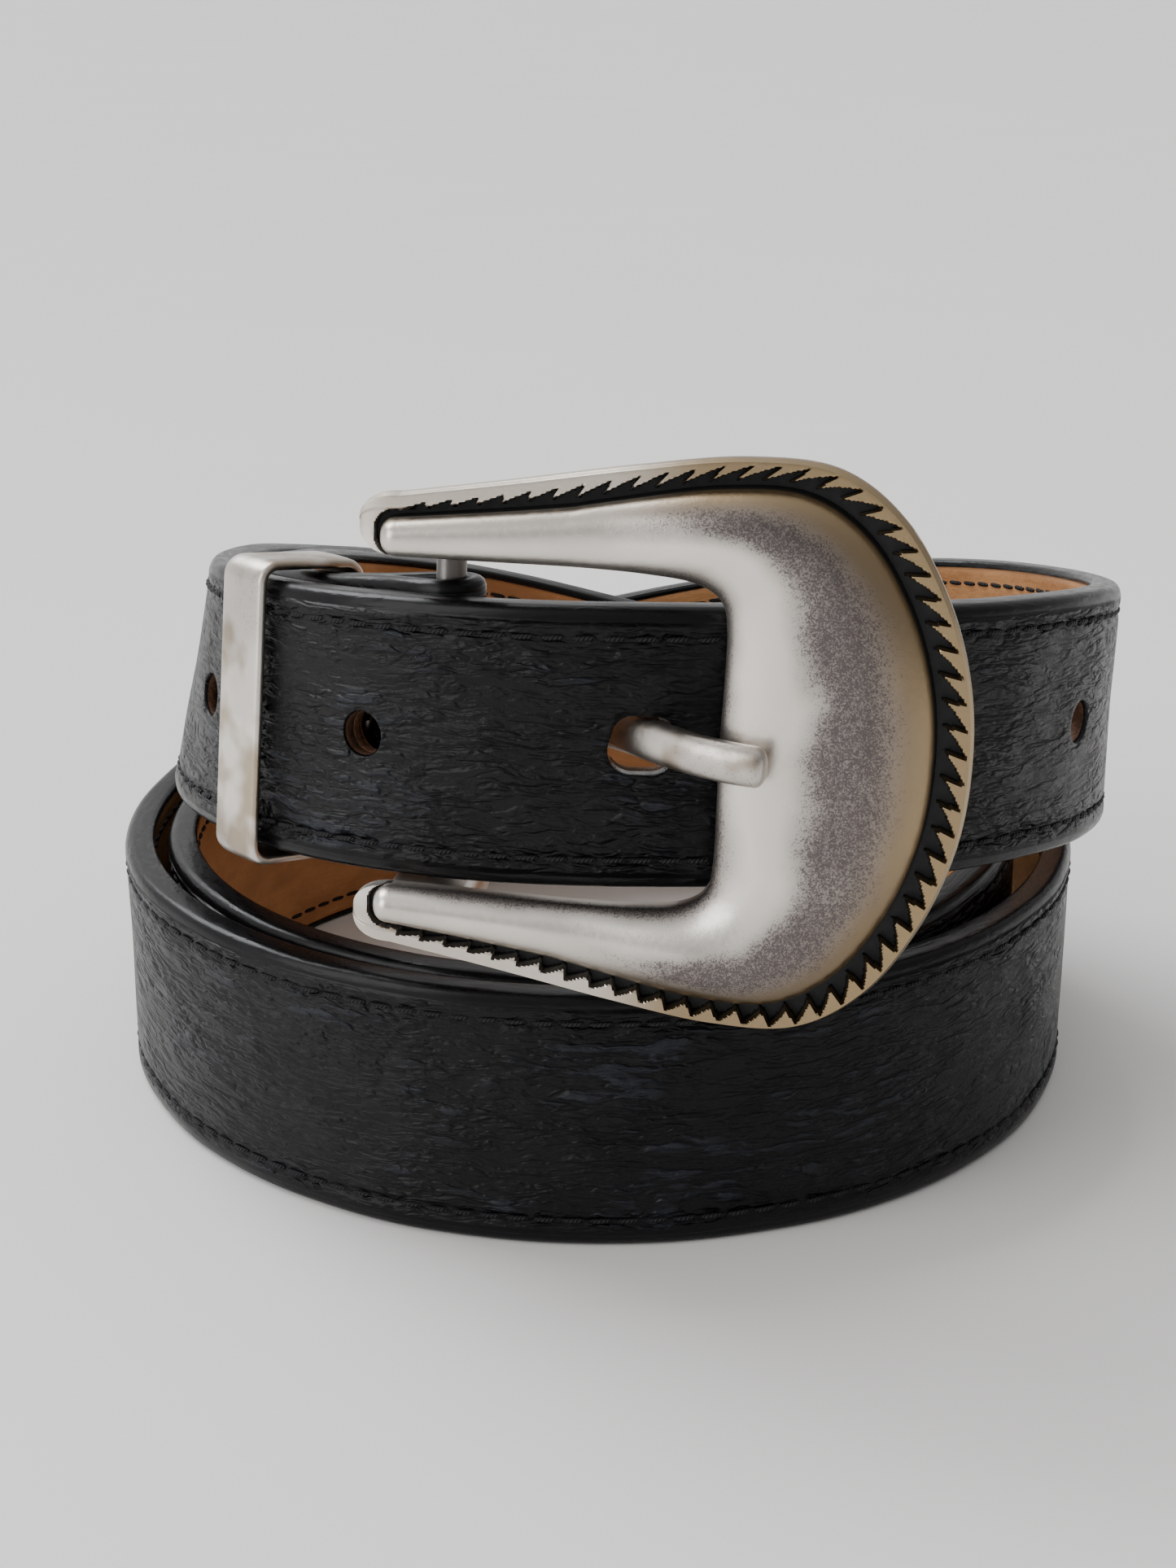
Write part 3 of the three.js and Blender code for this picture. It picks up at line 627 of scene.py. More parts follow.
# ---- stitches
def stitch_places(side):
    """Middle, direction and outward direction of each stitch of a row, on the grain side.
    The row follows the rounded tip to the belt's middle line."""
    first = length_at(LINING_START) + 2
    straight = np.arange(first, TIP_START, STITCH_PITCH)
    places = [(s, HALF - STITCH_INSET, 1.0, 0.0) for s in straight]
    turn = np.linspace(0, np.pi / 2, 400)
    reach, width = TIP_LENGTH - STITCH_INSET, HALF - STITCH_INSET
    curve = np.stack([TIP_START + reach * np.sin(turn), width * np.cos(turn)], axis=-1)
    travelled = lengths(curve)
    gap = STITCH_PITCH - (TIP_START - straight[-1])

    def on_curve(at):
        return np.array([np.interp(at, travelled, curve[:, k]) for k in (0, 1)])

    for d in np.arange(gap, travelled[-1] - 0.4 * STITCH_PITCH, STITCH_PITCH):
        places.append((*on_curve(d), *unit(on_curve(d + 0.1) - on_curve(d - 0.1))))
    places = np.array(places)
    places[:, 1] *= side
    places[:, 3] *= side
    return places


def stitch_row(name, side):
    """One thread row: a stitch on the grain side and one on the lining side at each place."""
    places = stitch_places(side)
    middle, along, up, out = strap_frame(angle_at(places[:, 0]))
    steps, sides = 9, 8
    t = np.linspace(-1, 1, steps)
    turn = np.linspace(0, 2 * np.pi, sides, endpoint=False)
    thickness = THREAD_RADIUS * (1 - 0.45 * np.abs(t) ** 4)
    arch = STITCH_ARCH * (1 - np.abs(t) ** 3)
    lean = STITCH_LEAN * t
    points, faces, uv = [], [], []
    grain_side = GRAIN_FACE - CHANNEL_DEPTH - THREAD_SINK
    lining_side = LINING_FACE - LINING_CHANNEL - LINING_SINK
    for face, sink in ((1, grain_side), (-1, lining_side)):
        heading = along * places[:, 2:3] + up * places[:, 3:4]
        across = np.cross(out, heading)
        centre = middle + up * places[:, 1:2] + face * out * sink
        line = placed(
            centre[:, None], (heading[:, None], t * STITCH_LENGTH / 2), (across[:, None], lean),
            (face * out[:, None], arch),
        )
        rings = placed(
            line[:, :, None],
            (across[:, None, None], np.cos(turn) * thickness[:, None] * THREAD_FLATTENED),
            (out[:, None, None], np.sin(turn) * thickness[:, None]),
        )
        for stitch in rings:
            base = sum(len(p) for p in points)
            grid, corner = tube(stitch, u=np.arange(steps + 1.0), v=np.arange(sides + 1.0) / sides)
            faces += [[base + k for k in f] for f in grid]
            points.append(stitch.reshape(-1, 3))
            uv.append(corner)
    return new_mesh(name, np.concatenate(points), faces, np.concatenate(uv), sharp=60)


# ---- buckle frame
def mirrored(outline):
    points = np.array(outline, dtype=float)
    return np.vstack([points, points[-2::-1] * [1, -1]])


def rope_notch(run, rise, reach):
    """0 to 1: how deep a point of the border lies in a notch of the rope pattern. run is the
    distance along the border in pitches, rise goes from 0 at the groove to 1 at the rim. Each
    notch widens slowly to a tip at reach, then closes at once."""
    phase = run - np.floor(run)
    growing = np.clip(phase / NOTCH_GROWS, 0, 1) ** 0.8
    limit = reach * growing * smooth((1 - phase) / (1 - NOTCH_GROWS))
    return smooth((limit - rise) / 0.1)


def frame_shape():
    """Rings of the frame's front, from one arm's end round the far bar to the other."""
    dense = np.linspace(0, 1, OUTLINE_SAMPLES)
    travelled = lengths(spline(mirrored(OUTER_EDGE), dense))
    count = int(travelled[-1] / RING_STEP)
    run = np.linspace(0, travelled[-1], count)
    t = np.interp(run, travelled, dense)
    inner, outer = spline(mirrored(WINDOW_EDGE), t), spline(mirrored(OUTER_EDGE), t)
    turn = np.radians(np.linspace(2, 90, CAP_RINGS))[:-1]
    ends = ARM_CAP * np.cos(turn)
    extra = (len(ends), len(ends))
    inner, outer = (np.pad(edge, (extra, (0, 0)), mode="edge") for edge in (inner, outer))
    past = np.concatenate([ends, np.zeros(count), ends[::-1]])
    return inner, outer, past, np.pad(run, extra, mode="edge")


def buckle_body():
    """Rings across the frame: dome, groove, rope border, foot and back. Also, for the finish,
    how oxidised each point is and its place from the window's edge (0) to the groove (1)."""
    inner, outer, past, run = frame_shape()
    total = run[-1]
    past = past[:, None]
    in_cap = past > 0
    span = np.linalg.norm(outer - inner, axis=1)[:, None]
    rope = np.minimum(ROPE_WIDTH, ROPE_SHARE * span)
    groove = np.minimum(GROOVE_WIDTH, GROOVE_SHARE * span)
    dome_end = 1 - (rope + groove) / span
    rim_start = 1 - rope / span
    half_turn = (1 - np.cos(np.linspace(0, np.pi, 37))) / 2
    rise = np.array([
        0.06, 0.14, 0.22, 0.3, 0.38, 0.46, 0.54, 0.62, 0.7, 0.78, 0.86, 0.93, 0.975, 1.0,
    ])
    q = np.hstack([
        half_turn * dome_end,
        dome_end + groove / span * np.array([0.18, 0.4, 0.7, 1.0]),
        rim_start + rope / span * rise,
    ])

    # Past the arms' ends the sections draw in towards their middle.
    pull = (1 - np.clip(past / ARM_CAP, 0, 1) ** DOME_POWER) ** (1 / DOME_POWER)
    q_here = ((2 * q - 1) * pull + 1) / 2
    dome_out = np.abs(2 * q_here / dome_end - 1) ** DOME_POWER + (past / DOME_CAP) ** DOME_POWER
    rim_out = np.abs(2 * q_here / rim_start - 1) ** DOME_POWER + (past / RIM_CAP) ** DOME_POWER
    crown_share = smooth((inner[:, :1] - CROWN_FROM) / CROWN_SPAN)
    crown = CROWN_ARM + (CROWN_BAR - CROWN_ARM) * crown_share
    dome = EDGE_HEIGHT + (crown - EDGE_HEIGHT) * np.clip(1 - dome_out, 0, 1) ** DOME_ROUND
    on_dome = dome_out <= 1.0 + 1e-6
    rim = np.where(in_cap, smooth((rim_out - 1) / 0.12), (q >= rim_start - 1e-9) * 1.0)

    rope_rise = np.clip((q - rim_start) * (span / rope), 0, 1)
    run = run[:, None]
    fade = smooth((run - 0.2) / ROPE_FADE) * smooth((total - run - 0.2) / ROPE_FADE) * ~in_cap
    far = smooth((np.abs(run / total - 0.5) - 0.2) / 0.3)
    notch = rope_notch(run / ROPE_PITCH, rope_rise, NOTCH_REACH - NOTCH_FADE * far) * fade
    rim_top = ROPE_HEIGHT * (1 - 0.35 * smooth((rope_rise - 0.82) / 0.18) ** 2)
    rim_top = rim_top - 0.25 * (1 - smooth(rope_rise / 0.2))
    solid = rim * (1 - notch)
    height = np.where(on_dome, dome, GROOVE_HEIGHT + (rim_top - GROOVE_HEIGHT) * solid)
    height[:, 0] = np.minimum(height[:, 0], EDGE_HEIGHT)
    dome_oxide = np.clip(1 - (1 - dome_out) / 0.12, 0, 1) * 0.85 * (q > 0.5 * dome_end)
    oxide = np.where(on_dome, dome_oxide, 1 - solid)

    # A border point slides on along the border as it rises, so the notches lean.
    heading = unit(np.gradient(outer, axis=0) + 1e-9)
    slide = ROPE_SLANT * ROPE_PITCH * rope_rise * fade
    place = inner[:, None] + (outer - inner)[:, None] * q_here[..., None]
    place = place + heading[:, None] * slide[..., None]
    place[..., 0] -= past
    squeeze = 0.45 + 0.55 * pull
    top = in_buckle(place[..., 0], place[..., 1], FRAME_BACK + height * squeeze)

    def level_row(spot, lift):
        return in_buckle(spot[:, 0], spot[:, 1], np.full(len(spot), FRAME_BACK + lift))[:, None]

    rows = [top, level_row(place[:, -1], FOOT)]
    for share, lift in ((0.985, 0.06), (0.93, 0.0), (0.07, 0.0), (0.015, 0.06)):
        spot = inner + (outer - inner) * ((2 * share - 1) * pull + 1) / 2
        spot[:, :1] -= past
        rows.append(level_row(spot, lift))
    rows.append(level_row(place[:, 0], FOOT))
    rings = np.concatenate(rows, axis=1)
    rest = ((0, 0), (0, rings.shape[1] - q.shape[1]))
    oxide = np.pad(oxide, rest, constant_values=BACK_OXIDE)
    return rings, oxide, np.pad(q_here / dome_end, rest, constant_values=BACK_PLACE)


def rounded_box(x_range, y_range, z_range, corner, steps=5):
    """Rings of a box along z with rounded upright edges and a drawn-in lower end."""
    (x0, x1), (y0, y1), (z0, z1) = x_range, y_range, z_range
    turn = np.concatenate([np.radians(np.linspace(90 * k, 90 * k + 90, steps)) for k in range(4)])
    quadrant = np.repeat(np.arange(4), steps)
    cx = np.where((quadrant == 0) | (quadrant == 3), x1 - corner, x0 + corner)
    cy = np.where(quadrant < 2, y1 - corner, y0 + corner)
    rows = []
    for z, pull in ((z0, 0.5), (z0 + 0.15, 0.15), (z0 + 0.5, 0), (z1, 0)):
        reach = corner - pull
        x, y = cx + reach * np.cos(turn), cy + reach * np.sin(turn)
        rows.append(np.stack([x, y, np.full(len(turn), z)], axis=-1))
    return np.stack(rows)


def buckle_piece():
    rings, oxide, place = buckle_body()
    faces, _ = tube(rings)
    points = [rings.reshape(-1, 3)]
    oxides, places = [oxide.ravel()], [place.ravel()]
    ear_length, ear_depth = (-EAR_HALF_LENGTH, EAR_HALF_LENGTH), (EAR_BACK, FRAME_BACK + 0.3)
    for height in ((EAR_INNER, EAR_OUTER), (-EAR_OUTER, -EAR_INNER)):
        ear = rounded_box(ear_length, height, ear_depth, EAR_CORNER)
        ear_faces, _ = tube(ear)
        base = sum(len(p) for p in points)
        faces += [[base + k for k in f] for f in ear_faces[:-1]]
        spots = ear.reshape(-1, 3)
        points.append(in_buckle(spots[:, 0], spots[:, 1], spots[:, 2]))
        oxides.append(np.full(len(spots), EAR_OXIDE))
        places.append(np.full(len(spots), BACK_PLACE))
    points = np.concatenate(points)
    reach = dot(points - frame_middle, buckle_right)
    values = {"oxide": np.concatenate(oxides), "place": np.concatenate(places), "reach": reach}
    return new_mesh("buckle", points, faces, values=values, sharp=38)


# ---- prong, bar, keeper, screws
def prong_rings(extra, turn, steps, sides):
    """Rings of the prong's blade, grown by extra and turned about the hinge axis."""
    bend = np.radians(np.linspace(0, 86, 9)[1:])
    t = np.append(np.linspace(0, BLADE_END, steps), BLADE_END + (1 - BLADE_END) * np.sin(bend))
    scale = np.append(np.ones(steps), np.cos(bend))
    line = spline(PRONG_ROUTE, t)
    before, after = np.maximum(t - 0.005, 0), np.minimum(t + 0.005, 1)
    heading = unit(spline(PRONG_ROUTE, after) - spline(PRONG_ROUTE, before))
    around = np.linspace(0, 2 * np.pi, sides, endpoint=False)
    cos_a = np.sign(np.cos(around)) * np.abs(np.cos(around)) ** PRONG_SQUARE
    sin_a = np.sign(np.sin(around)) * np.abs(np.sin(around)) ** PRONG_SQUARE
    widen = 1 - PRONG_TAPER * smooth((t - 0.3) / 0.7)
    side = (PRONG_HALF_WIDTH + extra) * (scale * widen)[:, None] * cos_a
    lift = (PRONG_HALF_THICK + extra) * scale[:, None] * sin_a
    x = line[:, :1] - heading[:, 1:] * lift
    n = line[:, 1:] + heading[:, :1] * lift
    c, s = math.cos(turn), math.sin(turn)
    return in_buckle(x * c - n * s, side, x * s + n * c)


def prong_piece():
    half, bore, rim, corner = PRONG_HALF_WIDTH, FOLD_INNER, PRONG_LOOP, PRONG_CORNER
    profile = [
        [bore, -half + 0.2], [bore + 0.2, -half], [rim - corner, -half], [rim - 0.15, -half + 0.15],
        [rim, -half + corner], [rim, half - corner], [rim - 0.15, half - 0.15], [rim - corner, half],
        [bore + 0.2, half], [bore, half - 0.2],
    ]
    loop = lathe("loop", profile, frame_middle, hinge_up, buckle_right, 64)
    blade = swept("prong_blade", prong_rings(0, 0, 60, 36))
    carve(blade, [loop], "UNION")
    blade.data.set_sharp_from_angle(angle=math.radians(40))
    return blade


def bar_piece():
    end, radius = BAR_HALF_LENGTH, BAR_RADIUS
    profile = [
        [0.001, -end], [radius - 0.35, -end], [radius - 0.1, -end + 0.1], [radius, -end + 0.35],
        [radius, end - 0.35], [radius - 0.1, end - 0.1], [radius - 0.35, end], [0.001, end],
    ]
    return lathe("hinge_pin", profile, frame_middle, hinge_up, buckle_right, 40)


def keeper_piece():
    """A loop of flat bar round both straps, crowned a little on its outer side."""
    middle, along, up, out = (v[0] for v in strap_frame(KEEPER_AT + TIP_LAP))
    tilt = math.radians(KEEPER_TILT)
    up, along = (
        up * math.cos(tilt) - along * math.sin(tilt), along * math.cos(tilt) + up * math.sin(tilt)
    )
    middle = middle + up * KEEPER_RISE / 2
    low, high = -LAP_STEP - GRAIN_FACE - KEEPER_ROOM_BEHIND, GRAIN_FACE + KEEPER_ROOM_FRONT
    straight = HALF + KEEPER_RISE / 2 + KEEPER_ROOM_SIDE - KEEPER_CORNER
    centre, deep = (low + high) / 2, (high - low) / 2 - KEEPER_CORNER
    route = []
    for k, (sx, sy) in enumerate(((1, 1), (-1, 1), (-1, -1), (1, -1))):
        for turn in np.radians(np.linspace(90 * k, 90 * k + 90, KEEPER_STEPS)):
            route.append([centre + sx * deep, sy * straight, math.cos(turn), math.sin(turn)])
    route = np.array(route)
    wide = KEEPER_WIDTH / 2
    strip = np.array([
        [0, -wide + 0.3], [0.1, -wide + 0.08], [0.3, -wide], [0.65, -wide], [0.87, -wide + 0.14],
        [0.98, -wide + 0.5], [1.05, -wide + 1.5], [KEEPER_WALL, 0], [1.05, wide - 1.5],
        [0.98, wide - 0.5], [0.87, wide - 0.14], [0.65, wide], [0.3, wide], [0.1, wide - 0.08],
        [0, wide - 0.3],
    ])
    reach = KEEPER_CORNER + strip[None, :, 0]
    o = route[:, 0:1] + route[:, 2:3] * reach
    w = route[:, 1:2] + route[:, 3:4] * reach
    rings = placed(middle, (out, o), (up, w), (along, strip[:, 1]))
    return swept("keeper_loop", rings, closed=True, sharp=45)


def screw_set(index, angle):
    """A screw post with its flat head inside the coil, and the slotted screw in it."""
    middle, along, up, out = (v[0] for v in strap_frame(angle))
    face = GRAIN_FACE + HEAD_GAP
    top = face + SCREW_HEAD_THICK
    head, bore = SCREW_HEAD, SCREW_RADIUS + 0.3

    def cap(sign):
        return [
            [0.001, sign * top], [head - 0.9, sign * (top - 0.04)], [head - 0.3, sign * (top - 0.2)],
            [head - 0.05, sign * (top - 0.45)], [head, sign * (top - 0.7)], [head - 0.1, sign * face],
        ]

    post_profile = cap(-1) + [
        [POST_RADIUS, -face], [POST_RADIUS, GRAIN_FACE - 0.4], [bore, GRAIN_FACE - 0.4],
        [bore, -GRAIN_FACE + 0.2], [0.001, -GRAIN_FACE + 0.2],
    ]
    screw_profile = cap(1) + [
        [SCREW_RADIUS, face], [SCREW_RADIUS, -GRAIN_FACE + 0.8],
        [SCREW_RADIUS - 0.3, -GRAIN_FACE + 0.5], [0.001, -GRAIN_FACE + 0.5],
    ]
    body = lathe(f"post_{index}", post_profile, middle, out, along)
    screw = lathe(f"slotted_screw_{index}", screw_profile, middle, out, along)
    corners = np.array([[-1, -1], [1, -1], [1, 1], [-1, 1]]) * [DRIVER_SLOT, head + 1]
    levels = np.array([top - DRIVER_DEPTH, top + 1])
    rings = placed(middle, (up, corners[:, 0]), (along, corners[:, 1]), (out, levels[:, None]))
    carve(screw, [swept("driver_slot", rings)])
    screw.data.set_sharp_from_angle(angle=math.radians(35))
    return body, screw


# ---- materials
# the lighter, bluish leather colour is a painted sheen on the wrinkle ridges
LEATHER_VALLEY, LEATHER_RIDGE_SHEEN = (0.0022, 0.0022, 0.003, 1), (0.014, 0.0155, 0.021, 1)
# the fibre colours are undyed leather darkened with painted shade for the inside of the holes
SHADED_FIBRE_DARK, SHADED_FIBRE_LIGHT = (0.045, 0.017, 0.006, 1), (0.12, 0.05, 0.019, 1)
LINING_DARK, LINING_LIGHT = (0.33, 0.145, 0.05, 1), (0.47, 0.23, 0.09, 1)
LINING_STREAK = (0.24, 0.1, 0.035, 1)
THREAD_DARK, THREAD_CREST_SHEEN = (0.004, 0.004, 0.005, 1), (0.014, 0.014, 0.016, 1)
FLOOR_DARK, FLOOR_LIGHT = (0.76, 0.75, 0.73, 1), (0.8, 0.79, 0.775, 1)
SILVER = (0.77, 0.725, 0.665, 1)
# the warm colour is brass showing through on the plain parts and a painted warm reflection on the
# buckle's dome
BRASS_AND_WARM_REFLECTION = (0.3, 0.22, 0.125, 1)
# the patina colour is patina, and on the buckle also painted shade and a painted dark reflection
PATINA_AND_SHADE = (0.17, 0.142, 0.137, 1)
STEEL = (0.13, 0.125, 0.12, 1)
SPECK = (0.09, 0.075, 0.075, 1)
OXIDE = (0.006, 0.006, 0.007, 1)
COARSE_BUMP, FIBRE_BUMP, FINE_BUMP, METAL_BUMP = 0.0005, 0.0002, 0.00012, 0.00003   # metres


class Shader:
    """The node tree of a material or world, with short calls for the nodes used here."""

    def __init__(self, owner):
        owner.use_nodes = True
        self.owner = owner
        self.tree = owner.node_tree

    def node(self, kind, output=0, inputs=None, **settings):
        made = self.tree.nodes.new("ShaderNode" + kind)
        for key, value in settings.items():
            setattr(made, key, value)
        for key, value in (inputs or {}).items():
            self.put(made.inputs[key], value)
        return made.outputs[output]

    def put(self, socket, value):
        if isinstance(value, bpy.types.NodeSocket):
            self.tree.links.new(value, socket)
        else:
            socket.default_value = value

    def math(self, operation, a, b=0.0):
        return self.node("Math", inputs={0: a, 1: b}, operation=operation)

    def add(self, a, b):
        return self.math("ADD", a, b)

    def times(self, a, b):
        return self.math("MULTIPLY", a, b)

    def remap(self, value, low, high, to_low=0.0, to_high=1.0):
        return self.node("MapRange", inputs={
            "Value": value, "From Min": low, "From Max": high, "To Min": to_low, "To Max": to_high,
        }, interpolation_type="SMOOTHSTEP")

    def scaled(self, vector, x, y, z):
        return self.node("VectorMath", inputs={0: vector, 1: (x, y, z)}, operation="MULTIPLY")

    def moved(self, vector, by, amount):
        shift = self.node("VectorMath", inputs={0: by, 1: (0.5, 0.5, 0.5)}, operation="SUBTRACT")
        shift = self.node("VectorMath", inputs={0: shift, 3: amount}, operation="SCALE")
        return self.node("VectorMath", inputs={0: vector, 1: shift}, operation="ADD")

    def noise(self, vector, scale, detail=3.0, rough=0.5, output=0):
        return self.node("TexNoise", output, {
            "Vector": vector, "Scale": scale, "Detail": detail, "Roughness": rough,
        })

    def mix(self, factor, a, b):
        return self.node("Mix", 2, {0: factor, 6: a, 7: b}, data_type="RGBA")

    def bump(self, height, distance, strength=1.0):
        return self.node("Bump", inputs={
            "Height": height, "Distance": distance, "Strength": strength,
        })

    def finish(self, **sockets):
        for key, value in sockets.items():
            socket = key.replace("_", " ").title().replace("Ior", "IOR")
            self.put(self.tree.nodes["Principled BSDF"].inputs[socket], value)
        return self.owner


def black_leather():
    """Full-grain leather wrinkled lengthwise, with a smooth painted edge. Its wrinkle ridges are
    lightened to a bluish grey as a painted sheen.
    """
    s = Shader(bpy.data.materials.new("black_leather_finish"))
    place = s.node("UVMap", uv_map="surface")
    across = s.node("SeparateXYZ", 1, {0: place})
    off_edge = s.remap(s.math("ABSOLUTE", across), 13.9, 12.9)
    drift = s.noise(s.scaled(place, 0.1, 0.22, 1), 1.0, 2.0, output=1)
    bent = s.moved(place, drift, 2.4)
    wobble = s.noise(s.scaled(bent, 0.35, 0.8, 1), 1.0, 2.0, output=1)
    bent = s.moved(bent, wobble, 0.9)

    def valleys(x, y, width, shift):
        """Thin wavy valleys along the level lines of a stretched cloud."""
        at = s.node("VectorMath", inputs={0: s.scaled(bent, x, y, 1), 1: [shift] * 3}, operation="ADD")
        level = s.math("ABSOLUTE", s.math("SUBTRACT", s.noise(at, 1.0, 1.5, 0.5), 0.5))
        return s.remap(level, 0.0, width)

    coarse = s.times(valleys(0.06, 0.4, 0.12, 0.0), valleys(0.1, 0.6, 0.12, 7.3))
    fine = valleys(0.18, 1.1, 0.12, 3.1)
    folds = s.noise(s.scaled(bent, 0.07, 0.5, 1), 1.0, 3.0, 0.55)
    pores = s.noise(place, 3.4, 3.0, 0.6)
    patch = s.remap(s.noise(s.scaled(place, 0.05, 0.09, 1), 1.0, 2.0), 0.35, 0.65, 0.35, 1.0)
    height = s.add(coarse, s.times(fine, 0.35))
    height = s.add(height, s.times(folds, 3.2))
    height = s.times(height, patch)
    height = s.add(height, s.times(pores, 0.12))
    grain = s.times(height, s.remap(off_edge, 0, 1, 0.06, 1.0))
    # painted sheen: the raised ridges of the grain are lightened to a bluish grey
    ridge_sheen = s.remap(grain, 1.8, 2.9)
    colour = s.mix(ridge_sheen, LEATHER_VALLEY, LEATHER_RIDGE_SHEEN)
    rough = s.remap(s.noise(s.scaled(place, 0.3, 1.2, 1), 1.0, 3.0), 0.3, 0.7, 0.33, 0.42)
    rough = s.math("SUBTRACT", rough, s.times(s.math("SUBTRACT", 1.0, off_edge), 0.08))
    return s.finish(
        base_color=colour, roughness=rough, normal=s.bump(grain, COARSE_BUMP, 0.9), ior=1.45,
        specular_ior_level=0.22,
    )


def raw_leather():
    """Cut wall of a hole: undyed fibres, their colour darkened as painted shade inside the hole."""
    s = Shader(bpy.data.materials.new("cut_leather_finish"))
    place = s.node("TexCoord", 3)
    fibres = s.noise(place, 2600.0, 4.0, 0.7)
    colour = s.mix(s.remap(fibres, 0.35, 0.65), SHADED_FIBRE_DARK, SHADED_FIBRE_LIGHT)
    return s.finish(base_color=colour, roughness=0.8, normal=s.bump(fibres, FIBRE_BUMP))


def tan_lining():
    """Smooth lining leather with a faint grain and uneven dye."""
    s = Shader(bpy.data.materials.new("tan_lining_finish"))
    place = s.node("UVMap", uv_map="surface")
    cloud = s.noise(s.scaled(place, 0.09, 0.2, 1), 1.0, 4.0, 0.6)
    pores = s.node("TexVoronoi", inputs={"Vector": place, "Scale": 1.6, "Randomness": 1.0})
    fibres = s.noise(s.scaled(place, 0.5, 4, 1), 1.0, 4.0, 0.65)
    height = s.add(s.times(pores, 0.5), s.times(fibres, 0.6))
    colour = s.mix(s.remap(cloud, 0.3, 0.7), LINING_DARK, LINING_LIGHT)
    colour = s.mix(s.times(s.remap(fibres, 0.4, 0.75), 0.35), colour, LINING_STREAK)
    rough = s.remap(cloud, 0.3, 0.7, 0.46, 0.6)
    normal = s.bump(height, FINE_BUMP, 0.7)
    return s.finish(base_color=colour, roughness=rough, normal=normal, ior=1.45)


def black_thread():
    """Waxed thread, its strands twisted, their crests lightened as a painted sheen."""
    s = Shader(bpy.data.materials.new("black_thread_finish"))
    place = s.node("UVMap", uv_map="surface")
    twist = s.node("TexWave", inputs={
        "Vector": s.scaled(place, 1.0, 3.0, 1), "Scale": 0.42, "Distortion": 0.6, "Detail": 1.0,
    }, wave_type="BANDS", bands_direction="DIAGONAL")
    # painted sheen: the raised crests of the twist are lighter
    colour = s.mix(twist, THREAD_DARK, THREAD_CREST_SHEEN)
    return s.finish(
        base_color=colour, roughness=0.55, normal=s.bump(twist, FINE_BUMP), ior=1.5,
        specular_ior_level=0.2,
    )


def antique_metal(name, clean, warm, patina, wear, shaped=False):
    """Tumbled metal, its patina left as fine dark specks. wear is how much of the surface
    they take. A shaped mesh carries oxide (recesses), place (across the section) and reach
    (from the hinge towards the far bar). On it the patina colour also paints shade along the
    frame's window edge and a dark reflection across the dome's middle, and the warm colour
    paints a warm reflection on the dome's outer slope."""
    s = Shader(bpy.data.materials.new(name))
    place = s.node("TexCoord", 3)
    cloud = s.noise(place, 48.0, 3.0, 0.55)
    speckle = s.noise(place, 5200.0, 2.0, 0.7)
    blotch = s.noise(place, 1500.0, 3.0, 0.7)
    grain = s.add(s.times(speckle, 0.7), s.times(blotch, 0.3))
    patina_and_shade = s.remap(cloud, 0.38, 0.62, 0.0, wear)
    if shaped:
        oxide = s.node("Attribute", 2, attribute_name="oxide")
        band = s.node("Attribute", 2, attribute_name="place")
        bent = s.add(band, s.times(s.math("SUBTRACT", cloud, 0.5), 0.5))
        # middle: a band of patina specks across the dome's middle that also paints the dome's dark
        # reflection there, stronger on the far bar
        middle = s.times(s.remap(bent, 0.34, 0.6), s.remap(bent, 1.0, 0.72))
        # foot: painted shade along the frame's window edge, in the patina colour, with the specks
        # thicker there
        foot = s.times(s.remap(bent, 0.26, -0.02), 0.95)
        bar = s.remap(s.node("Attribute", 2, attribute_name="reach"), 14.0, 30.0, 0.18, 1.0)
        patina_and_shade = s.add(s.times(patina_and_shade, 0.2), s.times(middle, bar))
        patina_and_shade = s.math("MAXIMUM", patina_and_shade, foot)
        # painted warm reflection: a brass-coloured band on the dome's outer slope, more on the far bar
        brass_and_warm_reflection = s.times(s.remap(band, 0.55, 0.9), s.remap(bar, 0.2, 1.0, 0.35, 1.0))
    else:
        # on plain parts: brass showing through in random patches
        brass_and_warm_reflection = s.remap(s.noise(place, 160.0, 2.0), 0.42, 0.62, 0.0, 0.75)
    low = s.math("SUBTRACT", 0.7, s.times(patina_and_shade, 0.3))
    dark = s.remap(grain, low, s.add(low, 0.2))
    # mixes in the warm colour: brass showing through, and on the buckle a painted warm reflection
    colour = s.mix(brass_and_warm_reflection, clean, warm)
    # mixes in the patina colour: patina, and on the buckle painted shade and dark reflection
    colour = s.mix(s.times(patina_and_shade, 0.7), colour, patina)
    colour = s.mix(s.times(dark, 0.85), colour, SPECK)
    rough = s.add(s.remap(blotch, 0.3, 0.7, 0.27, 0.34), s.times(patina_and_shade, 0.1))
    metal = 1.0
    if shaped:
        colour = s.mix(s.remap(oxide, 0.35, 0.85), colour, OXIDE)
        rough = s.add(rough, s.times(oxide, 0.3))
        metal = s.remap(oxide, 0.5, 1.0, 1.0, 0.2)
    height = s.add(s.times(speckle, 0.3), blotch)
    normal = s.bump(height, METAL_BUMP, 0.7)
    return s.finish(base_color=colour, metallic=metal, roughness=rough, normal=normal)


def floor_finish():
    s = Shader(bpy.data.materials.new("floor_finish"))
    place = s.node("TexCoord", 3)
    cloud = s.noise(place, 6.0, 3.0)
    colour = s.mix(cloud, FLOOR_DARK, FLOOR_LIGHT)
    return s.finish(base_color=colour, roughness=0.75)


# ---- assembly
def settle(piece, body, slot, materials, *nodes):
    for material in materials:
        piece.data.materials.append(material)
    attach(piece, body)
    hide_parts(*nodes)


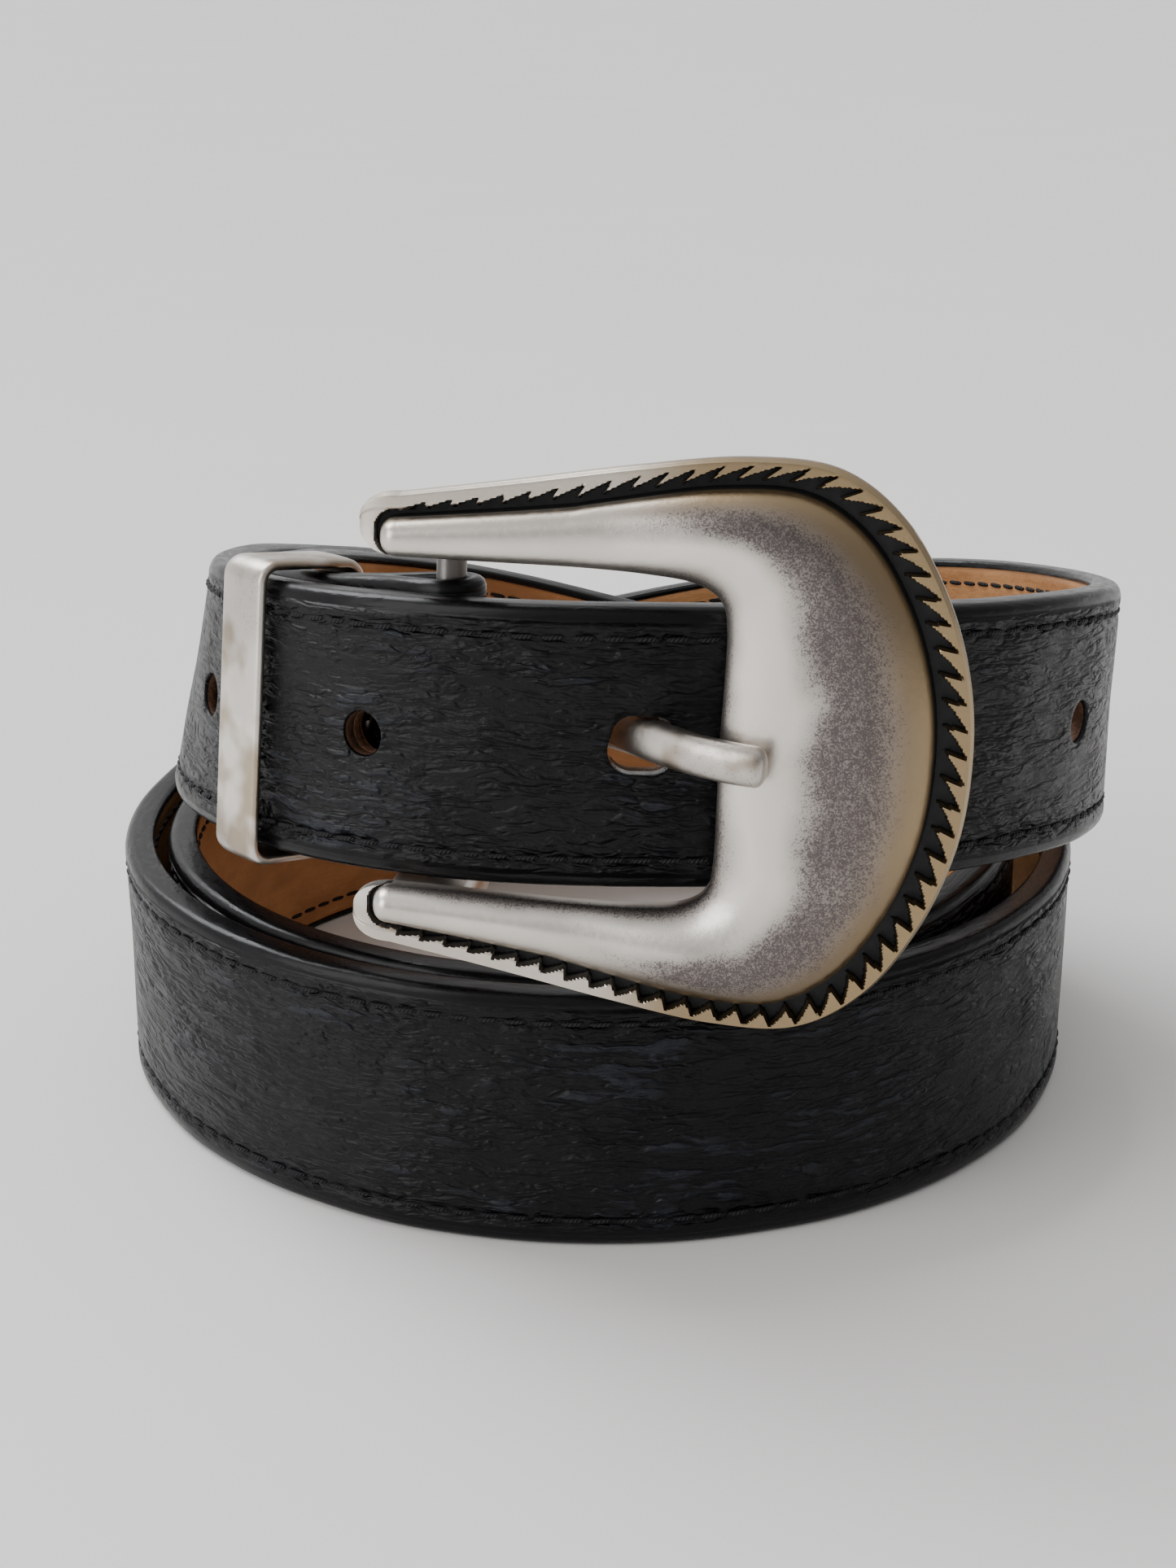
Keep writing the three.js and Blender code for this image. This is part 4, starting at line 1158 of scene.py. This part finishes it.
def raw_walls(piece, angles):
    """Gives the cut walls of the holes the second material, below their dyed mouths."""
    count = len(piece.data.polygons)
    normals = np.empty(count * 3)
    piece.data.polygons.foreach_get("normal", normals)
    centres = np.empty(count * 3)
    piece.data.polygons.foreach_get("center", centres)
    normals, centres = normals.reshape(-1, 3), centres.reshape(-1, 3) / MM - COIL_MIDDLE
    chosen = np.zeros(count, dtype=int)
    for at in angles:
        middle, along, up, out = (v[0] for v in strap_frame(at))
        apart = centres - middle
        near = np.hypot(dot(apart, along) * HOLE_SQUEEZE, dot(apart, up)) < HOLE_ZONE
        near &= np.abs(dot(apart, out)) < GRAIN_FACE - MOUTH_DEPTH
        chosen[near & (np.abs(dot(normals, out)) < WALL_FACING)] = 1
    piece.data.polygons.foreach_set("material_index", chosen.astype(np.int32))


leather = outer_leather()
lining = lining_leather()
cut_strap(leather, True)
cut_strap(lining, False)
raw = raw_leather()
settle(leather, "strap", "black_leather", [black_leather(), raw], "strap_outer")
settle(lining, "strap", "tan_leather", [tan_lining(), raw], "strap_lining")
raw_walls(leather, hole_angles())
raw_walls(lining, hole_angles() + [PRONG_HOLE_AT])
thread = black_thread()
settle(stitch_row("upper_stitches", 1), "strap", "black_thread", [thread], "thread_upper_row")
settle(stitch_row("lower_stitches", -1), "strap", "black_thread", [thread], "thread_lower_row")

buckle_silver = antique_metal("buckle_silver_finish", SILVER, BRASS_AND_WARM_REFLECTION, PATINA_AND_SHADE, 0.9, shaped=True)
plain_silver = antique_metal("silver_finish", SILVER, BRASS_AND_WARM_REFLECTION, PATINA_AND_SHADE, 0.55)
plain_steel = antique_metal("steel_finish", STEEL, STEEL, PATINA_AND_SHADE, 0.35)
settle(buckle_piece(), "buckle", "antique_silver", [buckle_silver], "buckle_frame")
settle(prong_piece(), "prong", "antique_silver", [plain_silver], "prong")
settle(bar_piece(), "buckle", "plain_steel", [plain_steel], "hinge_bar")
settle(keeper_piece(), "keeper", "antique_silver", [plain_silver], "keeper")
for number, angle in enumerate(screw_angles(), 1):
    post, screw = screw_set(number, angle)
    settle(post, "strap", "plain_steel", [plain_steel], f"screw_post_{number}")
    settle(screw, "strap", "plain_steel", [plain_steel], f"screw_{number}")


# ---- floor, light and camera, in metres
FLOOR_WIDE = 40.0
FLOOR_RISE = [  # distance behind the belt, height
    (-FLOOR_WIDE, 0), (1.5, 0), (2.2, 0.01), (3, 0.035), (4, 0.09), (6, 0.25), (9, 0.55),
    (FLOOR_WIDE, 4.2),
]
CAMERA_PLACE = (-0.00323, -0.27907, 0.1289)
CAMERA_DOWN = 18.72  # degrees below the level
CAMERA_LENS = 52.31
WINDOW_PLACE, WINDOW_STRENGTH, WINDOW_DEGREES = (-0.5, 0.5, 0.8), 2.7, 36
WINDOW_TINT = (0.97, 0.985, 1.0)
FILL_PLACE, FILL_TARGET, FILL_WATTS = (-0.75, -0.45, 0.45), (0, 0, 0.05), 4.5
WORLD_BRIGHT, WORLD_DIM = (1.0, 1.0, 1.0, 1), (0.4, 0.395, 0.39, 1)
WORLD_TOWARDS = (-0.6, 0.35, 0.55)
WORLD_SPREAD = (-0.6, 0.9)  # cosines from the bright side at which the world is dim and bright


def floor():
    """Flat under the belt, and rising gently far behind it."""
    points = [(x, y, z) for y, z in FLOOR_RISE for x in (-FLOOR_WIDE, FLOOR_WIDE)]
    faces = [(2 * k, 2 * k + 1, 2 * k + 3, 2 * k + 2) for k in range(len(FLOOR_RISE) - 1)]
    mesh = bpy.data.meshes.new("floor")
    mesh.from_pydata(points, [], faces)
    mesh.polygons.foreach_set("use_smooth", np.ones(len(faces), dtype=bool))
    mesh.materials.append(floor_finish())
    ground = bpy.data.objects.new("floor", mesh)
    bpy.context.scene.collection.objects.link(ground)


def lamp(name, kind, place, target, strength, **settings):
    light = bpy.data.lights.new(name, kind)
    light.energy = strength
    for key, value in settings.items():
        setattr(light, key, value)
    holder = bpy.data.objects.new(name, light)
    holder.location = place
    holder.rotation_euler = (Vector(target) - Vector(place)).to_track_quat("-Z", "Y").to_euler()
    bpy.context.scene.collection.objects.link(holder)


def world(bright, dim, towards):
    """A studio that is brighter towards one side."""
    bpy.context.scene.world = bpy.data.worlds.new("studio")
    s = Shader(bpy.context.scene.world)
    share = s.node("VectorMath", 1, {
        0: s.node("TexCoord"), 1: Vector(towards).normalized(),
    }, operation="DOT_PRODUCT")
    s.put(s.tree.nodes["Background"].inputs["Color"], s.mix(s.remap(share, *WORLD_SPREAD), dim, bright))


def camera():
    """As fitted to the photo, looking along the Y axis and down."""
    data = bpy.data.cameras.new("camera")
    data.sensor_width = 36
    data.lens = CAMERA_LENS
    data.clip_start = 0.01
    holder = bpy.data.objects.new("camera", data)
    holder.location = CAMERA_PLACE
    holder.rotation_euler = (math.radians(90 - CAMERA_DOWN), 0, 0)
    bpy.context.scene.collection.objects.link(holder)
    bpy.context.scene.camera = holder


floor()
world(WORLD_BRIGHT, WORLD_DIM, WORLD_TOWARDS)
spread = math.radians(WINDOW_DEGREES)
lamp("window", "SUN", WINDOW_PLACE, (0, 0, 0), WINDOW_STRENGTH, angle=spread, color=WINDOW_TINT)
lamp(
    "left_fill", "AREA", FILL_PLACE, FILL_TARGET, FILL_WATTS, shape="RECTANGLE", size=0.6,
    size_y=0.7,
)
camera()
